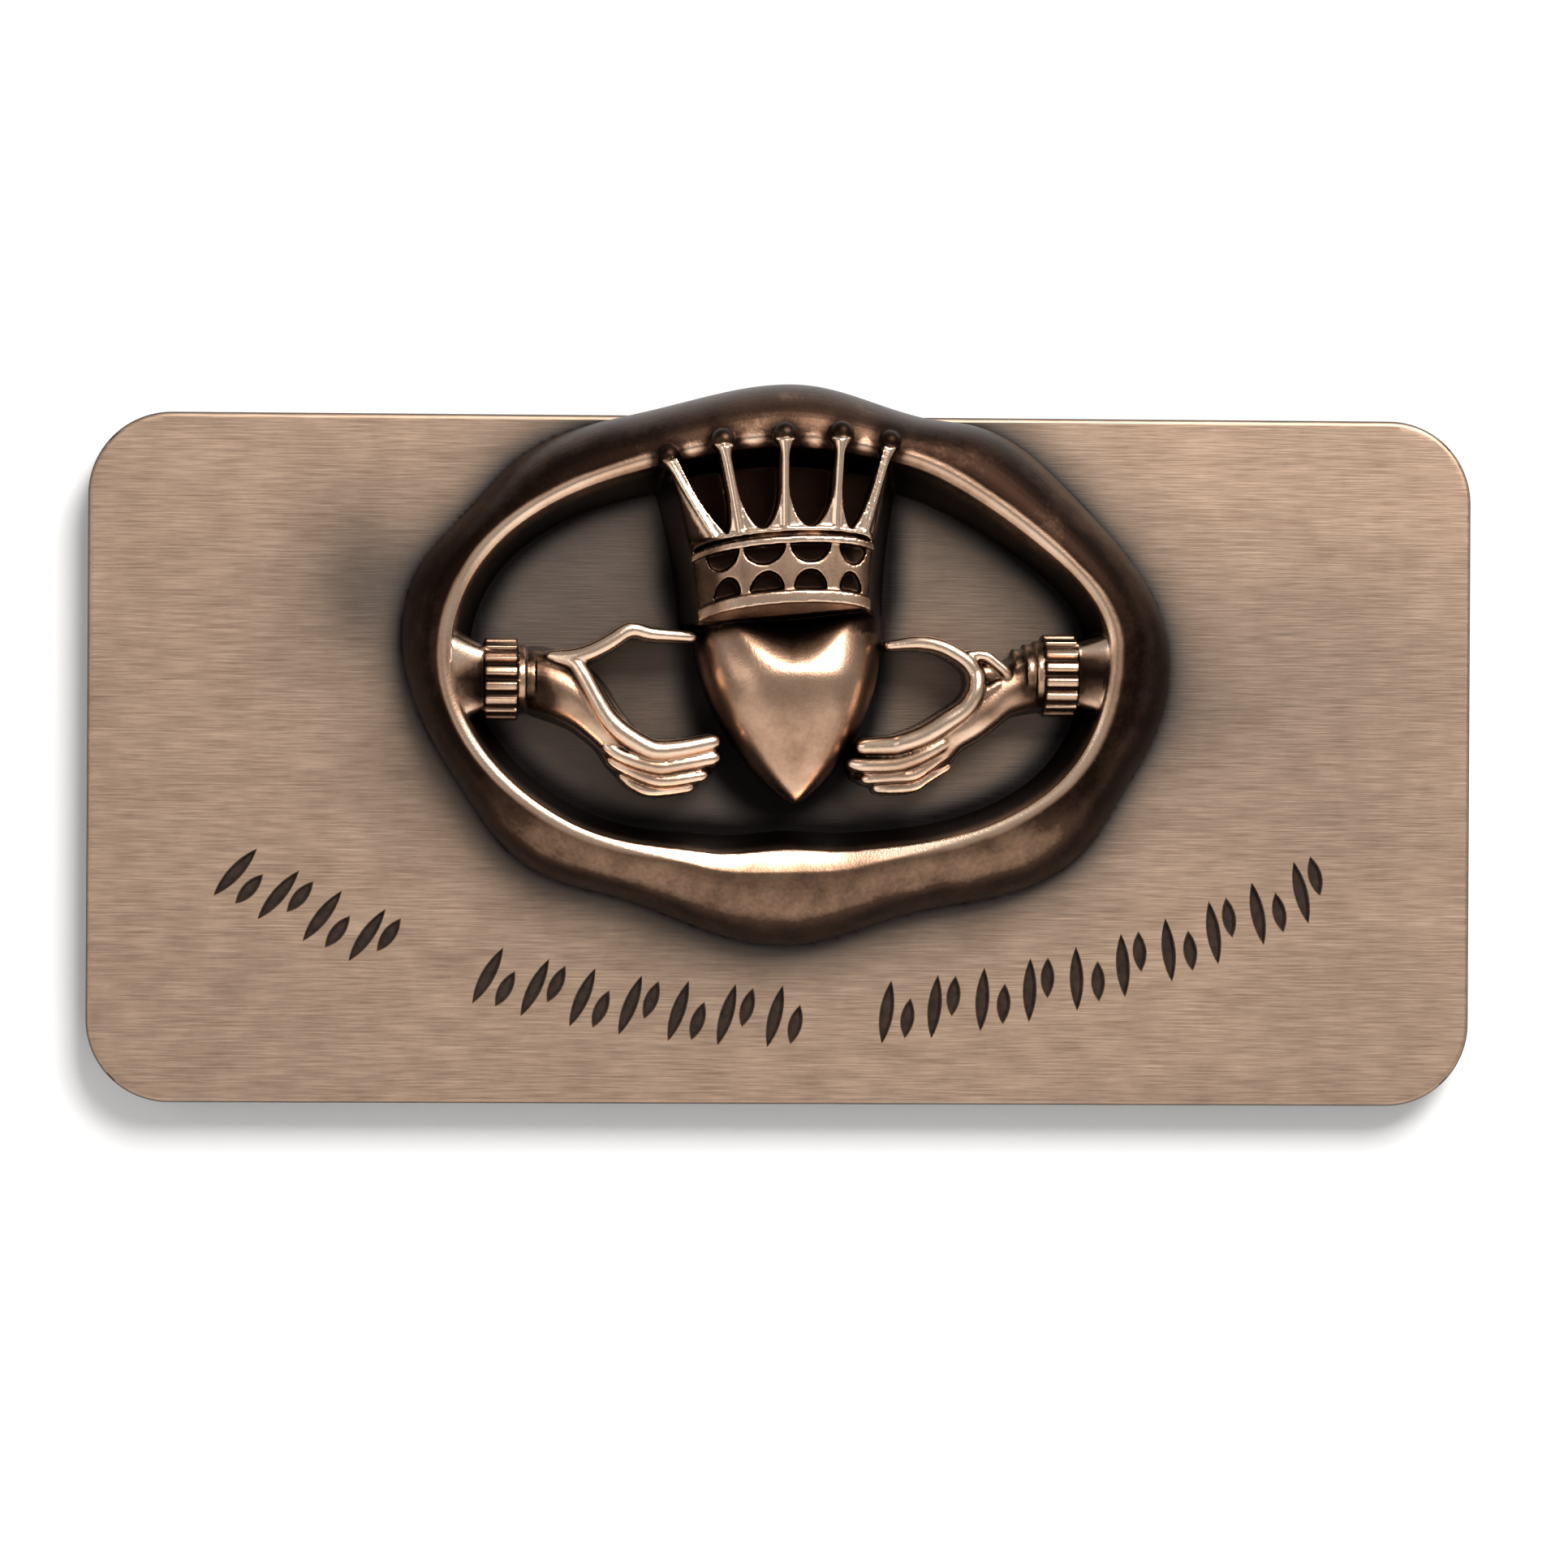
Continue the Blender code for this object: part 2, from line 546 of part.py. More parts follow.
def make_heart():
    rings = []
    for row in range(HEART_ROWS + 1):
        share = (row / HEART_ROWS) ** HEART_ROW_CURVE
        y = HEART_TIP_Y + (HEART_TOP_Y - HEART_TIP_Y) * share
        ring = []
        for x, up in arch(heart_half_width(y), 1.0, HEART_COLUMNS, HEART_SQUARENESS):
            ring.append(Vector((HEART_X + HEART_LEAN * (1 - share) + x, y, up * heart_rise(x, y))))
        left = Vector((ring[0].x, y, -ROOT_DEPTH))
        right = Vector((ring[-1].x, y, -ROOT_DEPTH))
        rings.append([left] + ring + [right])
    return loft("heart", rings)


def crown_point(turn, y, proud=0.0):
    """A point of the crown's bowed, flaring face: turn is the angle round it from its front, in radians."""
    flare = max(0.0, (y - CROWN_BASE_Y) / (CROWN_TIP_Y - CROWN_BASE_Y)) ** CROWN_FLARE_CURVE
    half_width = CROWN_BASE_HALF_WIDTH + (CROWN_TIP_HALF_WIDTH - CROWN_BASE_HALF_WIDTH) * flare + proud
    across = half_width * sin(turn)
    up = y - CROWN_BASE_Y + CROWN_BOW * cos(turn)
    x = CROWN_X + across * cos(radians(CROWN_TILT_DEG)) - up * sin(radians(CROWN_LEAN_DEG))
    rise = CROWN_SIDE_RISE + (CROWN_FRONT_RISE - CROWN_SIDE_RISE) * cos(turn) + proud
    return Vector((x, CROWN_BASE_Y + across * sin(radians(CROWN_TILT_DEG)) + up, rise))


def crown_block():
    rings = []
    for row in range(CROWN_ROWS + 1):
        y = CROWN_BASE_Y + (CROWN_TIP_Y - CROWN_BASE_Y) * row / CROWN_ROWS
        setback = GAP_SETBACK if y > CROWN_GROOVE_Y + GROOVE_WIDTH else 0.0
        ring = []
        for i in range(CROWN_COLUMNS + 1):
            point = crown_point(pi * (i / CROWN_COLUMNS - 0.5), y)
            ring.append(point - Vector((0, 0, setback)))
        left = Vector((ring[0].x - CROWN_FOOT_SPREAD, ring[0].y, -ROOT_DEPTH))
        right = Vector((ring[-1].x + CROWN_FOOT_SPREAD, ring[-1].y, -ROOT_DEPTH))
        rings.append([left] + ring + [right])
    return loft("crown", rings)


def crown_hoop(name, low, high, depth, proud):
    """A strip that follows the crown's face between two heights, from a depth below it to proud of it."""
    rings = []
    for i in range(CROWN_COLUMNS + 1):
        turn = radians(HOOP_REACH_DEG) * (2 * i / CROWN_COLUMNS - 1)
        rings.append([crown_point(turn, low, -depth), crown_point(turn, low, proud),
                      crown_point(turn, high, proud), crown_point(turn, high, -depth)])
    return loft(name, rings)


def crown_window(name, turn, y, half_width, upright):
    """A cutter for one half-round window, its flat side below if it is upright and above if it isn't."""
    face = crown_point(turn, y)
    slope = radians(CROWN_TILT_DEG) - CROWN_BOW / CROWN_BASE_HALF_WIDTH * tan(turn)
    outline = []
    for i in range(WINDOW_SIDES + 1):
        angle = pi * i / WINDOW_SIDES
        across = half_width * cos(turn) * cos(angle)
        height = WINDOW_HEIGHT * sin(angle) * (1 if upright else -1)
        outline.append((face.x + across, face.y + height + across * slope))
    return prism(name, outline, face.z - WINDOW_DEPTH, CROWN_FRONT_RISE + CLEARANCE_CUT)


def point_turn(number, share):
    """The direction of one of the crown's points, from its foot at 0 to its tip at 1."""
    foot, tip = POINT_TURNS_DEG[number]
    return radians(foot + (tip - foot) * share)


def crown_gap(number):
    """A cutter for the U-shaped gap between a point of the crown and the next one."""
    left, right = [], []
    for i in range(GAP_STEPS + 1):
        share = GAP_REACH_SHARE * (i / GAP_STEPS) ** GAP_STEP_CURVE
        y = POINT_START_Y + (CROWN_TIP_Y - POINT_START_Y) * share
        start = crown_point(point_turn(number, share), y)
        end = crown_point(point_turn(number + 1, share), y)
        middle = (start + end) / 2
        open_share = sqrt(1 - (1 - min(1.0, share / GAP_ROUND_SHARE)) ** 2)
        half_gap = max(((end.x - start.x) / 2 - POINT_HALF_WIDTH) * open_share, WELD)
        left.append((middle.x - half_gap, middle.y))
        right.append((middle.x + half_gap, middle.y))
    return prism(f"gap_{number}", left + right[::-1], CROWN_BACK_RISE, CROWN_FRONT_RISE + CLEARANCE_CUT)


def crown_shaft(number):
    """The round front of one point, which opens into a cup under its ball."""
    rings = []
    for i in range(POINT_STEPS + 1):
        share = i / POINT_STEPS
        cup = max(0.0, (share - 1 + CUP_SHARE) / CUP_SHARE) ** CUP_CURVE
        radius = POINT_HALF_WIDTH + (CUP_RADIUS - POINT_HALF_WIDTH) * cup
        y = POINT_START_Y + (CROWN_TIP_Y - POINT_START_Y) * share
        centre = crown_point(point_turn(number, share), y) - Vector((0, 0, radius))
        ring = []
        for k in range(RIDGE_SEGMENTS):
            turn = 2 * pi * k / RIDGE_SEGMENTS
            ring.append(centre + Vector((radius * cos(turn), 0, radius * sin(turn))))
        rings.append(ring)
    return loft(f"crown_shaft_{number}", rings)


def ball_centre(number):
    tip = crown_point(point_turn(number, 1.0), CROWN_TIP_Y + BALL_LIFT)
    return tip - Vector((0, 0, BALL_SINK))


def crown_ball(number):
    bm = bmesh.new()
    bmesh.ops.create_uvsphere(bm, u_segments=BALL_SEGMENTS, v_segments=BALL_ROWS, radius=BALL_RADIUS)
    bmesh.ops.translate(bm, vec=ball_centre(number), verts=bm.verts)
    return mesh_object(f"crown_ball_{number}", bm)


def make_crown():
    crown = crown_block()
    groove_top = CROWN_GROOVE_Y + GROOVE_WIDTH
    cut(crown, crown_hoop("groove", CROWN_GROOVE_Y, groove_top, GROOVE_DEPTH, CLEARANCE_CUT))
    low_window_y = CROWN_BASE_Y + LOW_HOOP_WIDTH + WINDOW_MARGIN
    high_window_y = CROWN_GROOVE_Y - HIGH_HOOP_WIDTH
    for number, angle in enumerate(WINDOW_TURNS_DEG):
        turn = radians(angle)
        cut(crown, crown_window(f"low_window_{number}", turn, low_window_y, LOW_WINDOW_HALF_WIDTH, True))
        cut(crown, crown_window(f"high_window_{number}", turn, high_window_y, HIGH_WINDOW_HALF_WIDTH, False))
    for number in range(len(POINT_TURNS_DEG) - 1):
        cut(crown, crown_gap(number))
    pieces = [
        crown,
        crown_hoop("low_hoop", CROWN_BASE_Y, CROWN_BASE_Y + LOW_HOOP_WIDTH, HOOP_PROUD, HOOP_PROUD),
        crown_hoop("high_hoop", high_window_y, CROWN_GROOVE_Y, HOOP_PROUD, HOOP_PROUD),
        crown_hoop("lip", groove_top, groove_top + LIP_WIDTH, HOOP_PROUD, 0.0),
    ]
    for number in range(len(POINT_TURNS_DEG)):
        pieces += [crown_shaft(number), crown_ball(number)]
    return pieces


def cast(name, pieces):
    """Fuses overlapping pieces into one softened casting with a flat seat at height 0, and thins it out."""
    bm = bmesh.new()
    for piece in pieces:
        bm.from_mesh(piece.data)
        bpy.data.objects.remove(piece, do_unlink=True)
    casting = mesh_object(name, bm)
    skin = casting.modifiers.new("skin", "REMESH")
    skin.mode = "VOXEL"
    skin.voxel_size = CAST_GRAIN
    soften = casting.modifiers.new("soften", "SMOOTH")
    soften.iterations = CAST_SOFTENING
    apply_modifiers(casting)
    bm = bmesh.new()
    bm.from_mesh(casting.data)
    bmesh.ops.triangulate(bm, faces=bm.faces)
    everything = bm.verts[:] + bm.edges[:] + bm.faces[:]
    bmesh.ops.bisect_plane(bm, geom=everything, plane_co=(0, 0, 0), plane_no=(0, 0, 1), clear_inner=True)
    rim = [edge for edge in bm.edges if edge.is_boundary]
    bmesh.ops.triangle_fill(bm, edges=rim, use_beauty=True)
    bmesh.ops.recalc_face_normals(bm, faces=bm.faces)
    triangles = len(bm.faces)
    bm.to_mesh(casting.data)
    bm.free()
    thin = casting.modifiers.new("thin", "DECIMATE")
    thin.ratio = CAST_TRIANGLES / triangles
    apply_modifiers(casting)
    bm = bmesh.new()
    bm.from_mesh(casting.data)
    for vertex in bm.verts:
        if vertex.co.z < WELD:
            vertex.co.z = 0.0
    bmesh.ops.dissolve_degenerate(bm, edges=bm.edges, dist=WELD)
    bm.to_mesh(casting.data)
    bm.free()
    return casting


def relief_pieces():
    """Every overlapping piece that the casting is fused from."""
    pieces = [make_band(), make_heart()] + make_crown()
    pieces += make_cuff("left", -1, LEFT_CUFF_X, LEFT_CUFF_Y)
    pieces += make_cuff("right", 1, RIGHT_CUFF_X, RIGHT_CUFF_Y)
    pieces += make_ridges("left_hand", [LEFT_PALM, LEFT_THUMB])
    pieces += make_ridges("left_finger", LEFT_FINGERS, FINGER_FULLNESS)
    pieces += make_ridges("right_hand", [RIGHT_PALM, RIGHT_THUMB] + RIGHT_WEB)
    pieces += make_ridges("right_finger", RIGHT_FINGERS, FINGER_FULLNESS)
    return pieces


def make_relief(collection, origin):
    relief = cast("claddagh_relief", relief_pieces())
    relief.location = (RELIEF_X, RELIEF_Y, PLATE_THICKNESS + SEAT_CLEARANCE)
    finish(relief, bronze("relief_bronze", RELIEF_COLOR, RELIEF_ROUGHNESS), collection, origin)


def stroke_outline(middle, heading, length):
    """A pointed lens, as one chisel stroke leaves it."""
    along = Vector((cos(heading), sin(heading)))
    across = Vector((-sin(heading), cos(heading)))
    outline = []
    for side in (1, -1):
        for i in range(STROKE_SIDES):
            share = side * (i / STROKE_SIDES * 2 - 1)
            bulge = side * STROKE_WIDTH / 2 * (1 - share * share)
            outline.append(middle + along * (share * length / 2) + across * bulge)
    return [tuple(point) for point in outline]


def make_strokes():
    """The cutters of the inscription's strokes, along their arc."""
    cutters = []
    low_y = INSCRIPTION_ABOVE_FOOT - PLATE_HEIGHT / 2
    arc_centre = Vector((INSCRIPTION_X, low_y + INSCRIPTION_RADIUS))
    for start, count in zip(STROKE_STARTS, STROKE_PLACES):
        for place in range(count):
            turn = (start + place * STROKE_PITCH) / INSCRIPTION_RADIUS
            up = Vector((-sin(turn), cos(turn)))
            right = Vector((cos(turn), sin(turn)))
            middle = arc_centre - up * INSCRIPTION_RADIUS
            heading = pi / 2 + turn - radians(STROKE_LEAN_DEG)
            stagger = SHORT_STROKE_STAGGER * (1 if place % 2 else -1)
            long_middle = middle - right * STROKE_SPACING / 2
            short_middle = middle + right * STROKE_SPACING / 2 + up * stagger
            for stroke, length in ((long_middle, LONG_STROKE), (short_middle, SHORT_STROKE)):
                outline = stroke_outline(stroke, heading, length)
                name = f"stroke_{len(cutters)}"
                top = PLATE_THICKNESS + CLEARANCE_CUT
                cutters.append(prism(name, outline, PLATE_THICKNESS - STROKE_DEPTH, top))
    return cutters


def make_plate(collection, origin):
    bm = bmesh.new()
    bmesh.ops.create_cube(bm, size=1.0)
    bmesh.ops.scale(bm, vec=(PLATE_WIDTH, PLATE_HEIGHT, PLATE_THICKNESS), verts=bm.verts)
    bmesh.ops.translate(bm, vec=(0, 0, PLATE_THICKNESS / 2), verts=bm.verts)
    corners = []
    for edge in bm.edges:
        if abs(edge.verts[0].co.z - edge.verts[1].co.z) > PLATE_THICKNESS / 2:
            corners.append(edge)
    bmesh.ops.bevel(bm, geom=corners, offset=PLATE_CORNER_RADIUS, segments=CORNER_SEGMENTS,
                    profile=ROUND_PROFILE, affect="EDGES")
    plate = mesh_object("plate", bm)
    edge_bevel = plate.modifiers.new("edge_bevel", "BEVEL")
    edge_bevel.width = PLATE_EDGE_BEVEL
    edge_bevel.segments = EDGE_SEGMENTS
    edge_bevel.limit_method = "ANGLE"
    edge_bevel.angle_limit = BEVEL_ANGLE
    apply_modifiers(plate)
    for cutter in make_strokes():
        cut(plate, cutter)
    finish(plate, bronze("plate_bronze", PLATE_COLOR, PLATE_ROUGHNESS), collection, origin)


def finish(thing, material, collection, origin):
    """Gives the object its material and shading, and hangs it on the upright empty."""
    thing.data.materials.clear()
    thing.data.materials.append(material)
    thing.data.shade_smooth()
    thing.data.set_sharp_from_angle(angle=SHARP_ANGLE)
    for old in list(thing.users_collection):
        old.objects.unlink(thing)
    collection.objects.link(thing)
    thing.parent = origin


def main():
    clear_scene()
    collection = bpy.data.collections.new("bronze_plaque")
    bpy.context.scene.collection.children.link(collection)
    origin = bpy.data.objects.new("wall_origin", None)
    origin.rotation_euler = (pi / 2, 0, 0)
    collection.objects.link(origin)
    make_plate(collection, origin)
    make_relief(collection, origin)


main()
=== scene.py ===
"""The looks of the bronze wall plaque: brushed plate, rubbed casting, painted light and shade on both, wall,
light and camera.

Both pieces are modelled lying flat, as in the part's source: X to the right, Y up the plaque, Z towards the
viewer. stand_up() then turns each into the frame, where the back lies in Y = 0 and the face looks along -Y.
"""

from math import atan2, cos, degrees, hypot, pi, radians, sin, sqrt, tan

import bmesh
import bpy
import numpy as np
from mathutils import Matrix, Vector


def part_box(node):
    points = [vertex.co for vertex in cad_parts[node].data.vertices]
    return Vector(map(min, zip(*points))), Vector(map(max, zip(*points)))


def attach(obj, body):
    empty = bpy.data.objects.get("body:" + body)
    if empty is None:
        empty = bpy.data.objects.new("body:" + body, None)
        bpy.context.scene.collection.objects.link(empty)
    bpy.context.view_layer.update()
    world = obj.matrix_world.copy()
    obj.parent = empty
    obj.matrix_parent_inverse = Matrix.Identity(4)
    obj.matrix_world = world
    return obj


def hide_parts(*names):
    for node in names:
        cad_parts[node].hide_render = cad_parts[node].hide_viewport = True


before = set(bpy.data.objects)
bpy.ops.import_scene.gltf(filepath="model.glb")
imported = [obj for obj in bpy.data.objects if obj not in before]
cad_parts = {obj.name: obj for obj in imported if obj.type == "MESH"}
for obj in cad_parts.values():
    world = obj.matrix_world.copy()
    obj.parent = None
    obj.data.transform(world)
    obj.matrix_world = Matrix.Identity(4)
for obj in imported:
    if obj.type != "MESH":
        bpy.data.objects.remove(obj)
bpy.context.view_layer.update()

MM = 0.001

# Plate: its outer sizes come from the frame
PLATE_LOW, PLATE_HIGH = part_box("plate")
PLATE_WIDTH = PLATE_HIGH.x - PLATE_LOW.x
PLATE_HEIGHT = PLATE_HIGH.z - PLATE_LOW.z
PLATE_THICKNESS = PLATE_HIGH.y - PLATE_LOW.y
PLATE_CORNER_RADIUS = 7.2 * MM
PLATE_EDGE_BEVEL = 0.45 * MM
CORNER_SEGMENTS = 24
EDGE_SEGMENTS = 5
PLATE_LATTICE = 0.5 * MM
EDGE_ANGLE_DEG = 60
SHARP_ANGLE_DEG = 35

# Relief: its seat lies on the plate's face here, which hides the clearance between the two solids
RELIEF_X = 0.13 * MM
RELIEF_BELOW_TOP = 20.2 * MM
RELIEF_Y = PLATE_HEIGHT / 2 - RELIEF_BELOW_TOP
SEAT_CLEARANCE = 0.3 * MM
ROOT_DEPTH = 1.0 * MM
CAST_GRAIN = 0.13 * MM
CAST_SOFTENING = 3
CAST_TRIANGLES = 185000

# Band: the wavy oval ring that frames the emblem. Swells are (direction in degrees, height over the oval).
# At the foot of the oval its crest laps outwards and dips towards its inner edge
BAND_STEPS = 360
BAND_RISE = 6.2 * MM
BAND_FOOT_RX = 32.3 * MM
BAND_FOOT_RY = 22.8 * MM
BAND_FOOT_SHIFT_X = 0.5 * MM
BAND_FOOT_DROP = 1.25 * MM
BAND_CREST_RX = 29.0 * MM
BAND_CREST_RY = 18.3 * MM
BAND_CREST_WIDTH_ABOVE = 1.1 * MM
BAND_CREST_WIDTH_BELOW = 0.5 * MM
BAND_BEAD_RISE = 0.15 * MM
BAND_CREST_FALL = 0.6 * MM
BAND_INNER_DRAFT = 1.6 * MM
BAND_INNER_DRAFT_ABOVE = 1.2 * MM
LAP_NARROWNESS = 8
LAP_REACH = 1.05 * MM
LAP_WIDTH = 1.4 * MM
LAP_DIP = 0.8 * MM
FLANK_STEPS = 14
BEAD_STEPS = 8
FOOT_SWELLS = [
    (0, 0.7 * MM), (25, -0.3 * MM), (49, 1.0 * MM), (63, 0.05 * MM), (90, 1.4 * MM), (117, 0.7 * MM),
    (142, 1.8 * MM), (155, 1.1 * MM), (167, 1.8 * MM), (198, -0.05 * MM), (218, 1.2 * MM), (236, 0.0),
    (268, 1.6 * MM), (297, 0.0), (324, 1.9 * MM), (343, 0.4 * MM),
]
CREST_SWELLS = [
    (0, -0.45 * MM), (24, -1.95 * MM), (60, -0.4 * MM), (90, 0.0), (125, -0.4 * MM), (170, 0.5 * MM),
    (218, 1.6 * MM), (248, 0.5 * MM), (271, -0.15 * MM), (290, 0.2 * MM), (330, 1.3 * MM),
]

# Heart
HEART_X = 0.0
HEART_LEAN = 0.85 * MM
HEART_TIP_Y = -13.3 * MM
HEART_WIDE_Y = 1.6 * MM
HEART_TOP_Y = 4.6 * MM
HEART_HALF_WIDTH = 8.2 * MM
HEART_POINTEDNESS = 0.68
HEART_TIP_START = 0.004
HEART_RISE = 8.3 * MM
HEART_TIP_RISE_SHARE = 0.45
HEART_SQUARENESS = 2.9
HEART_SHOULDER_SHARE = 0.6
HEART_FRONT_CURVE = 0.75
HEART_TOP_DROP = 3.0 * MM
HEART_TOP_CURVE = 1.5
CLEFT_X = 0.1 * MM
CLEFT_LOW_Y = -2.0 * MM
CLEFT_DEPTH = 4.4 * MM
CLEFT_HALF_WIDTH = 5.0 * MM
CLEFT_LOW_WIDTH_SHARE = 0.35
CLEFT_START_CURVE = 1.5
CLEFT_SOFTNESS = 0.45
CLEFT_RIM_CURVE = 1.5
HEART_ROWS = 60
HEART_ROW_CURVE = 1.3
HEART_COLUMNS = 54

# Crown: a bowed block that flares upwards. Turns are degrees round it from its front. Its hoops tilt, and its
# axis leans
CROWN_X = -0.35 * MM
CROWN_TILT_DEG = 4.2
CROWN_LEAN_DEG = 2.0
CROWN_BASE_Y = 2.4 * MM
CROWN_GROOVE_Y = 8.05 * MM
CROWN_TIP_Y = 16.4 * MM
CROWN_BASE_HALF_WIDTH = 7.3 * MM
CROWN_TIP_HALF_WIDTH = 9.5 * MM
CROWN_FLARE_CURVE = 1.6
CROWN_FOOT_SPREAD = 1.7 * MM
CROWN_BOW = 1.4 * MM
CROWN_SIDE_RISE = 6.7 * MM
CROWN_FRONT_RISE = 8.6 * MM
CROWN_BACK_RISE = 2.6 * MM
CROWN_COLUMNS = 40
CROWN_ROWS = 24
LOW_HOOP_WIDTH = 1.0 * MM
HIGH_HOOP_WIDTH = 0.55 * MM
LIP_WIDTH = 0.35 * MM
HOOP_PROUD = 0.3 * MM
HOOP_REACH_DEG = 78
GROOVE_WIDTH = 0.45 * MM
GROOVE_DEPTH = 0.6 * MM
WINDOW_TURNS_DEG = (-41.5, -11.5, 18, 51)
WINDOW_DEPTH = 1.1 * MM
WINDOW_HEIGHT = 1.7 * MM
WINDOW_MARGIN = 0.15 * MM
LOW_WINDOW_HALF_WIDTH = 1.5 * MM
HIGH_WINDOW_HALF_WIDTH = 1.85 * MM
WINDOW_SIDES = 16
POINT_TURNS_DEG = ((-47, -80), (-27, -30), (2, 3), (36, 34), (65, 84))
POINT_HALF_WIDTH = 0.36 * MM
POINT_START_Y = 8.95 * MM
POINT_STEPS = 30
GAP_SETBACK = 0.25 * MM
GAP_REACH_SHARE = 1.15
GAP_STEP_CURVE = 1.6
GAP_ROUND_SHARE = 0.5
GAP_STEPS = 20
CUP_RADIUS = 0.86 * MM
CUP_SHARE = 0.24
CUP_CURVE = 2.2
BALL_RADIUS = 1.1 * MM
BALL_SINK = 1.45 * MM
BALL_LIFT = 0.45 * MM
BALL_SEGMENTS = 24
BALL_ROWS = 16

# Cuffs: a ribbed sleeve, two thin collars on the hand's side, and a neck that flares to the band
LEFT_CUFF_X = 23.1 * MM
LEFT_CUFF_Y = -2.75 * MM
RIGHT_CUFF_X = 22.2 * MM
RIGHT_CUFF_Y = -2.15 * MM
CUFF_LENGTH = 2.85 * MM
CUFF_HALF_HEIGHT = 3.6 * MM
CUFF_RISE = 6.9 * MM
CUFF_RIBS = 8
CUFF_RIB_DEPTH = 0.5 * MM
RIB_PROFILE = ((0.12, 1), (0.28, 0), (0.72, 0), (0.88, 1))
CUFF_ROUNDNESS = 0.7
COLLAR_WIDTH = 0.6 * MM
COLLAR_GAP = 0.22 * MM
COLLAR_HALF_HEIGHTS = (3.0 * MM, 2.7 * MM)
COLLAR_STEP_DOWN = 0.45 * MM
CORE_INSET = 0.4 * MM
CORE_DROP = 1.8 * MM
NECK_HALF_HEIGHT = 2.7 * MM
NECK_FLARE = 1.7 * MM
NECK_RISE = 5.3 * MM
NECK_SWEEP = 0.8 * MM
NECK_CURVE = 1.5
NECK_END = 28.7 * MM
NECK_SQUARENESS = 6
NECK_STEPS = 16
NECK_OVERLAP = 0.9 * MM
ARCH_SEGMENTS = 32
ARCH_SQUARENESS = 2.4

# Hands: each ridge is a path of (x, y, half width, rise) in millimetres from the relief's centre
LEFT_PALM = [
    (-22.6, -2.8, 2.4, 5.5), (-21.3, -2.9, 2.6, 5.6), (-19.5, -3.5, 2.6, 5.7), (-17.6, -4.7, 2.3, 5.9),
    (-16.2, -6.1, 1.9, 6.0), (-14.9, -7.5, 1.7, 5.9), (-13.6, -9.1, 1.8, 5.2), (-11.8, -10.3, 1.9, 4.4),
    (-9.3, -10.4, 1.8, 4.2), (-7.3, -9.9, 1.3, 3.8),
]
LEFT_THUMB = [
    (-20.2, -0.8, 0.5, 5.6), (-18.2, -0.8, 0.7, 6.1), (-16.6, -0.3, 0.7, 6.3), (-15.0, 0.6, 0.68, 6.3),
    (-13.8, 1.4, 0.66, 6.2), (-13.0, 1.5, 0.64, 6.1), (-11.8, 1.2, 0.58, 5.9), (-9.9, 1.05, 0.52, 5.6),
    (-8.2, 0.95, 0.5, 5.2),
]
LEFT_FINGERS = [
    [(-19.9, -0.9, 0.45, 5.7), (-18.4, -1.3, 0.6, 6.1), (-17.5, -2.4, 0.65, 6.4), (-16.5, -4.2, 0.68, 6.5),
     (-15.4, -6.0, 0.72, 6.6), (-14.1, -7.3, 0.76, 6.7), (-12.2, -8.5, 0.8, 6.6), (-11.0, -8.85, 0.8, 6.5),
     (-9.0, -8.65, 0.72, 6.3), (-6.4, -8.1, 0.62, 5.9)],
    [(-15.3, -8.6, 0.5, 5.7), (-13.9, -9.4, 0.58, 5.9), (-11.2, -10.2, 0.62, 6.0), (-9.3, -10.0, 0.62, 5.9),
     (-6.3, -9.45, 0.55, 5.5)],
    [(-15.0, -9.7, 0.42, 4.9), (-14.2, -10.2, 0.46, 5.1), (-12.4, -11.0, 0.5, 5.25),
     (-11.0, -11.4, 0.52, 5.3), (-9.3, -11.3, 0.52, 5.2), (-7.2, -10.95, 0.45, 4.9)],
    [(-14.1, -11.0, 0.36, 4.0), (-13.2, -11.75, 0.4, 4.2), (-11.8, -12.3, 0.44, 4.3),
     (-9.9, -12.2, 0.44, 4.25), (-8.3, -12.0, 0.4, 4.0)],
]
RIGHT_PALM = [
    (21.6, -2.7, 2.3, 5.5), (20.4, -3.0, 2.2, 5.6), (18.5, -3.8, 2.0, 5.8), (16.9, -5.3, 1.75, 6.0),
    (15.7, -6.3, 1.65, 6.0), (14.0, -7.3, 1.7, 5.9), (12.5, -8.8, 1.9, 5.2), (11.1, -9.8, 1.9, 4.4),
    (9.1, -10.2, 1.8, 4.2), (6.6, -10.2, 1.3, 3.8),
]
RIGHT_THUMB = [
    (16.3, -2.4, 0.6, 6.2), (15.7, -1.3, 0.65, 6.3), (14.7, -0.5, 0.62, 6.3), (13.2, 0.25, 0.6, 6.2),
    (11.7, 0.55, 0.6, 6.0), (10.4, 0.5, 0.52, 5.8), (8.8, 0.3, 0.4, 5.4),
]
RIGHT_WEB = [
    [(15.2, -0.6, 0.5, 5.9), (16.9, -0.5, 0.45, 6.0), (17.9, -1.1, 0.45, 5.9), (18.8, -1.9, 0.45, 5.8),
     (19.1, -2.5, 0.5, 5.6)],
    [(16.6, -4.0, 0.5, 6.0), (18.2, -3.0, 0.45, 5.8)],
    [(16.5, -2.1, 1.2, 5.4), (18.3, -2.1, 0.9, 5.3)],
]
